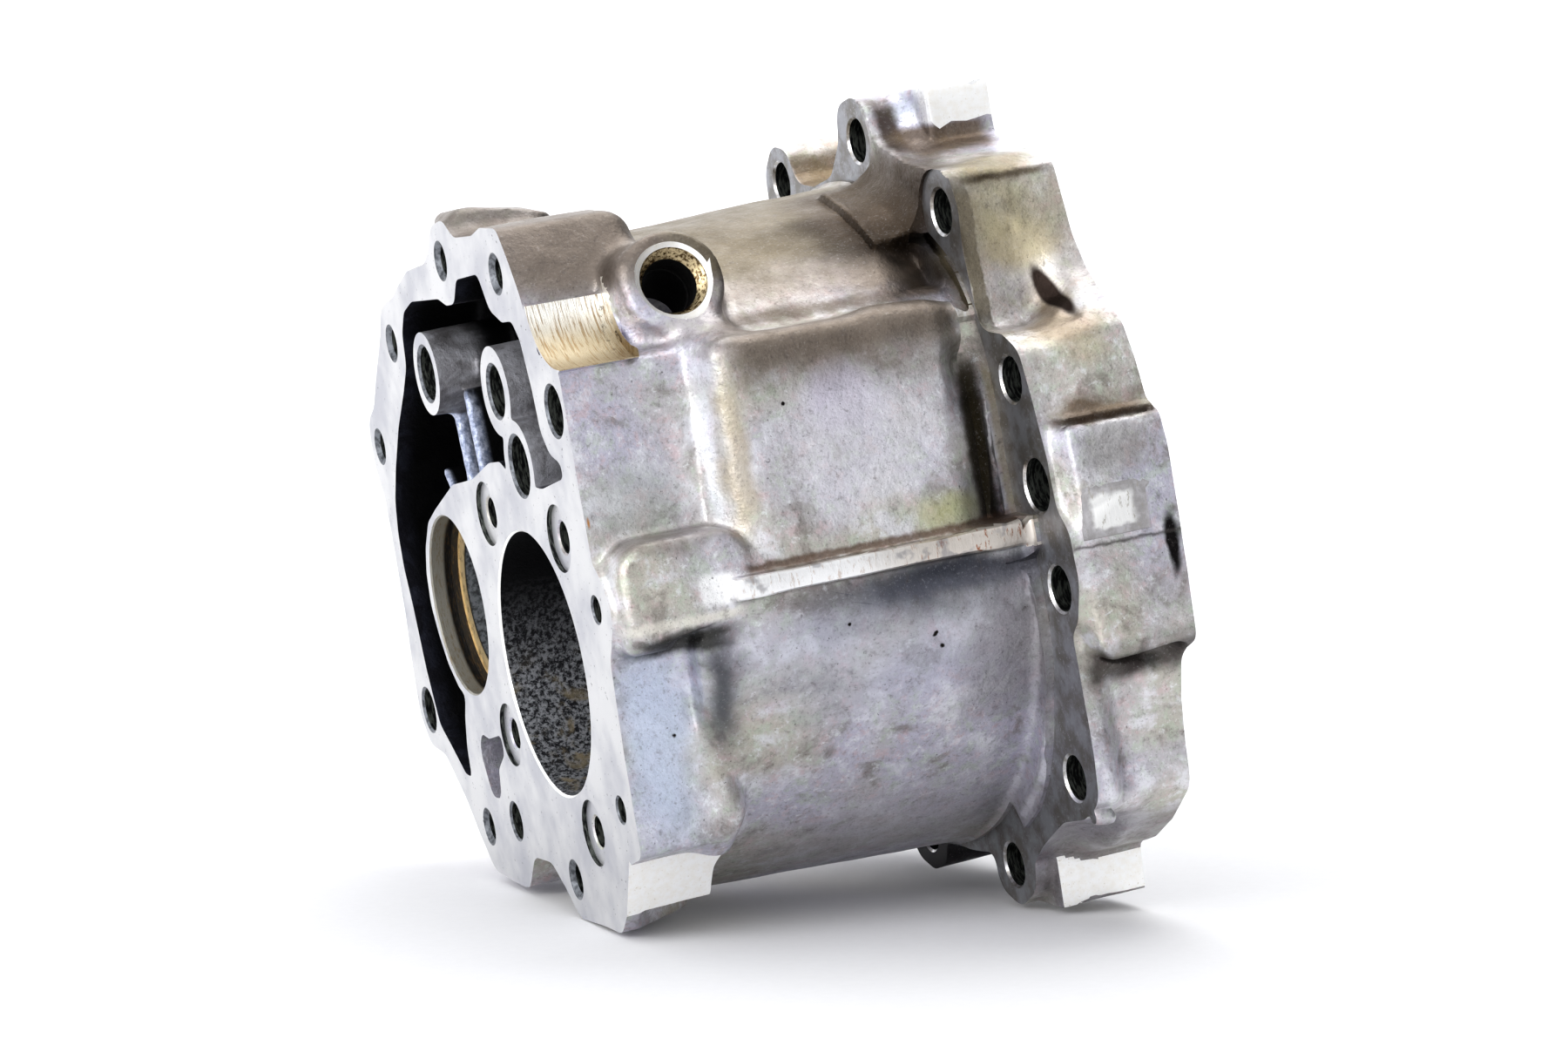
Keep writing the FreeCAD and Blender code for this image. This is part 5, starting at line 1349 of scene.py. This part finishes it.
fmx.inputs[7].default_value = (0.81, 0.81, 0.82, 1)
fm.node_tree.links.new(fmx.outputs[2], fb.inputs["Base Color"])
fbu = fm.node_tree.nodes.new("ShaderNodeBump")
fbu.inputs["Strength"].default_value = 0.15
fbu.inputs["Distance"].default_value = 0.0002
fm.node_tree.links.new(fno.outputs["Fac"], fbu.inputs["Height"])
fm.node_tree.links.new(fbu.outputs["Normal"], fb.inputs["Normal"])
fb.inputs["Roughness"].default_value = 0.9
fb.inputs["Specular IOR Level"].default_value = 0.1
fb.inputs["Emission Color"].default_value = (1, 1, 1, 1)
fb.inputs["Emission Strength"].default_value = 0.02
floor.data.materials.append(fm)

world = bpy.data.worlds.new("studio")
bpy.context.scene.world = world
world.use_nodes = True
wn, wl = world.node_tree.nodes, world.node_tree.links
bg = wn["Background"]
tc = wn.new("ShaderNodeTexCoord")
dot = wn.new("ShaderNodeVectorMath")
dot.operation = "DOT_PRODUCT"
dot.inputs[1].default_value = Vector((-0.74, -0.46, 0.49)).normalized()
wl.new(tc.outputs["Generated"], dot.inputs[0])
mr = wn.new("ShaderNodeMapRange")
mr.interpolation_type = "SMOOTHSTEP"
for k, v in (("From Min", -0.35), ("From Max", 0.75), ("To Min", 0.015), ("To Max", 0.95)):
    mr.inputs[k].default_value = v
wl.new(dot.outputs["Value"], mr.inputs["Value"])
wl.new(mr.outputs["Result"], bg.inputs["Strength"])
bg.inputs["Color"].default_value = (0.97, 0.98, 1.0, 1)


def area(name, loc, aim, size, power, color=(1, 1, 1)):
    l = bpy.data.lights.new(name, "AREA")
    l.shape = "RECTANGLE"
    l.size, l.size_y = size
    l.energy = power
    l.color = color
    o = bpy.data.objects.new(name, l)
    o.location = loc
    o.rotation_euler = (Vector(aim) - Vector(loc)).to_track_quat("-Z", "Y").to_euler()
    bpy.context.scene.collection.objects.link(o)
    return o


area("key_left", (-0.95, -0.55, 0.35), (0.05, 0, 0.03), (0.6, 0.7), 5.0)
area("top_soft", (0.4, 0.35, 1.2), (0.1, 0.1, 0.0), (1.2, 1.1), 8.0)
area("back_wash", (0.1, 1.2, 1.6), (0.2, 2.6, 0.6), (2.5, 0.6), 27)

cam_data = bpy.data.cameras.new("camera")
cam_data.lens = 80.86
cam_data.sensor_width = 36.0
cam_data.clip_end = 20
cam = bpy.data.objects.new("camera", cam_data)
bpy.context.scene.collection.objects.link(cam)
cam_pos = to_row(np.array([-262.7, -898.5, 122.9]))
R = np.array([[0.91873215, -0.34753887, -0.18747793],
              [-0.18402613, 0.04323823, -0.98196988],
              [0.34937891, 0.93666813, -0.02423188]])
bt = math.radians(4.76)
M = np.array([[1, 0, 0], [0, math.cos(bt), -math.sin(bt)], [0, math.sin(bt), math.cos(bt)]])
N = np.array([[CT, 0, ST], [0, 1, 0], [-ST, 0, CT]])
RW = R @ M @ N
cam.matrix_world = Matrix(((RW[0][0], -RW[1][0], -RW[2][0], cam_pos[0]),
                           (RW[0][1], -RW[1][1], -RW[2][1], cam_pos[1]),
                           (RW[0][2], -RW[1][2], -RW[2][2], cam_pos[2]),
                           (0, 0, 0, 1)))
bpy.context.scene.camera = cam
view = bpy.context.scene.view_settings
view.view_transform = "Standard"
view.look = "Medium High Contrast"
view.exposure = 0.14
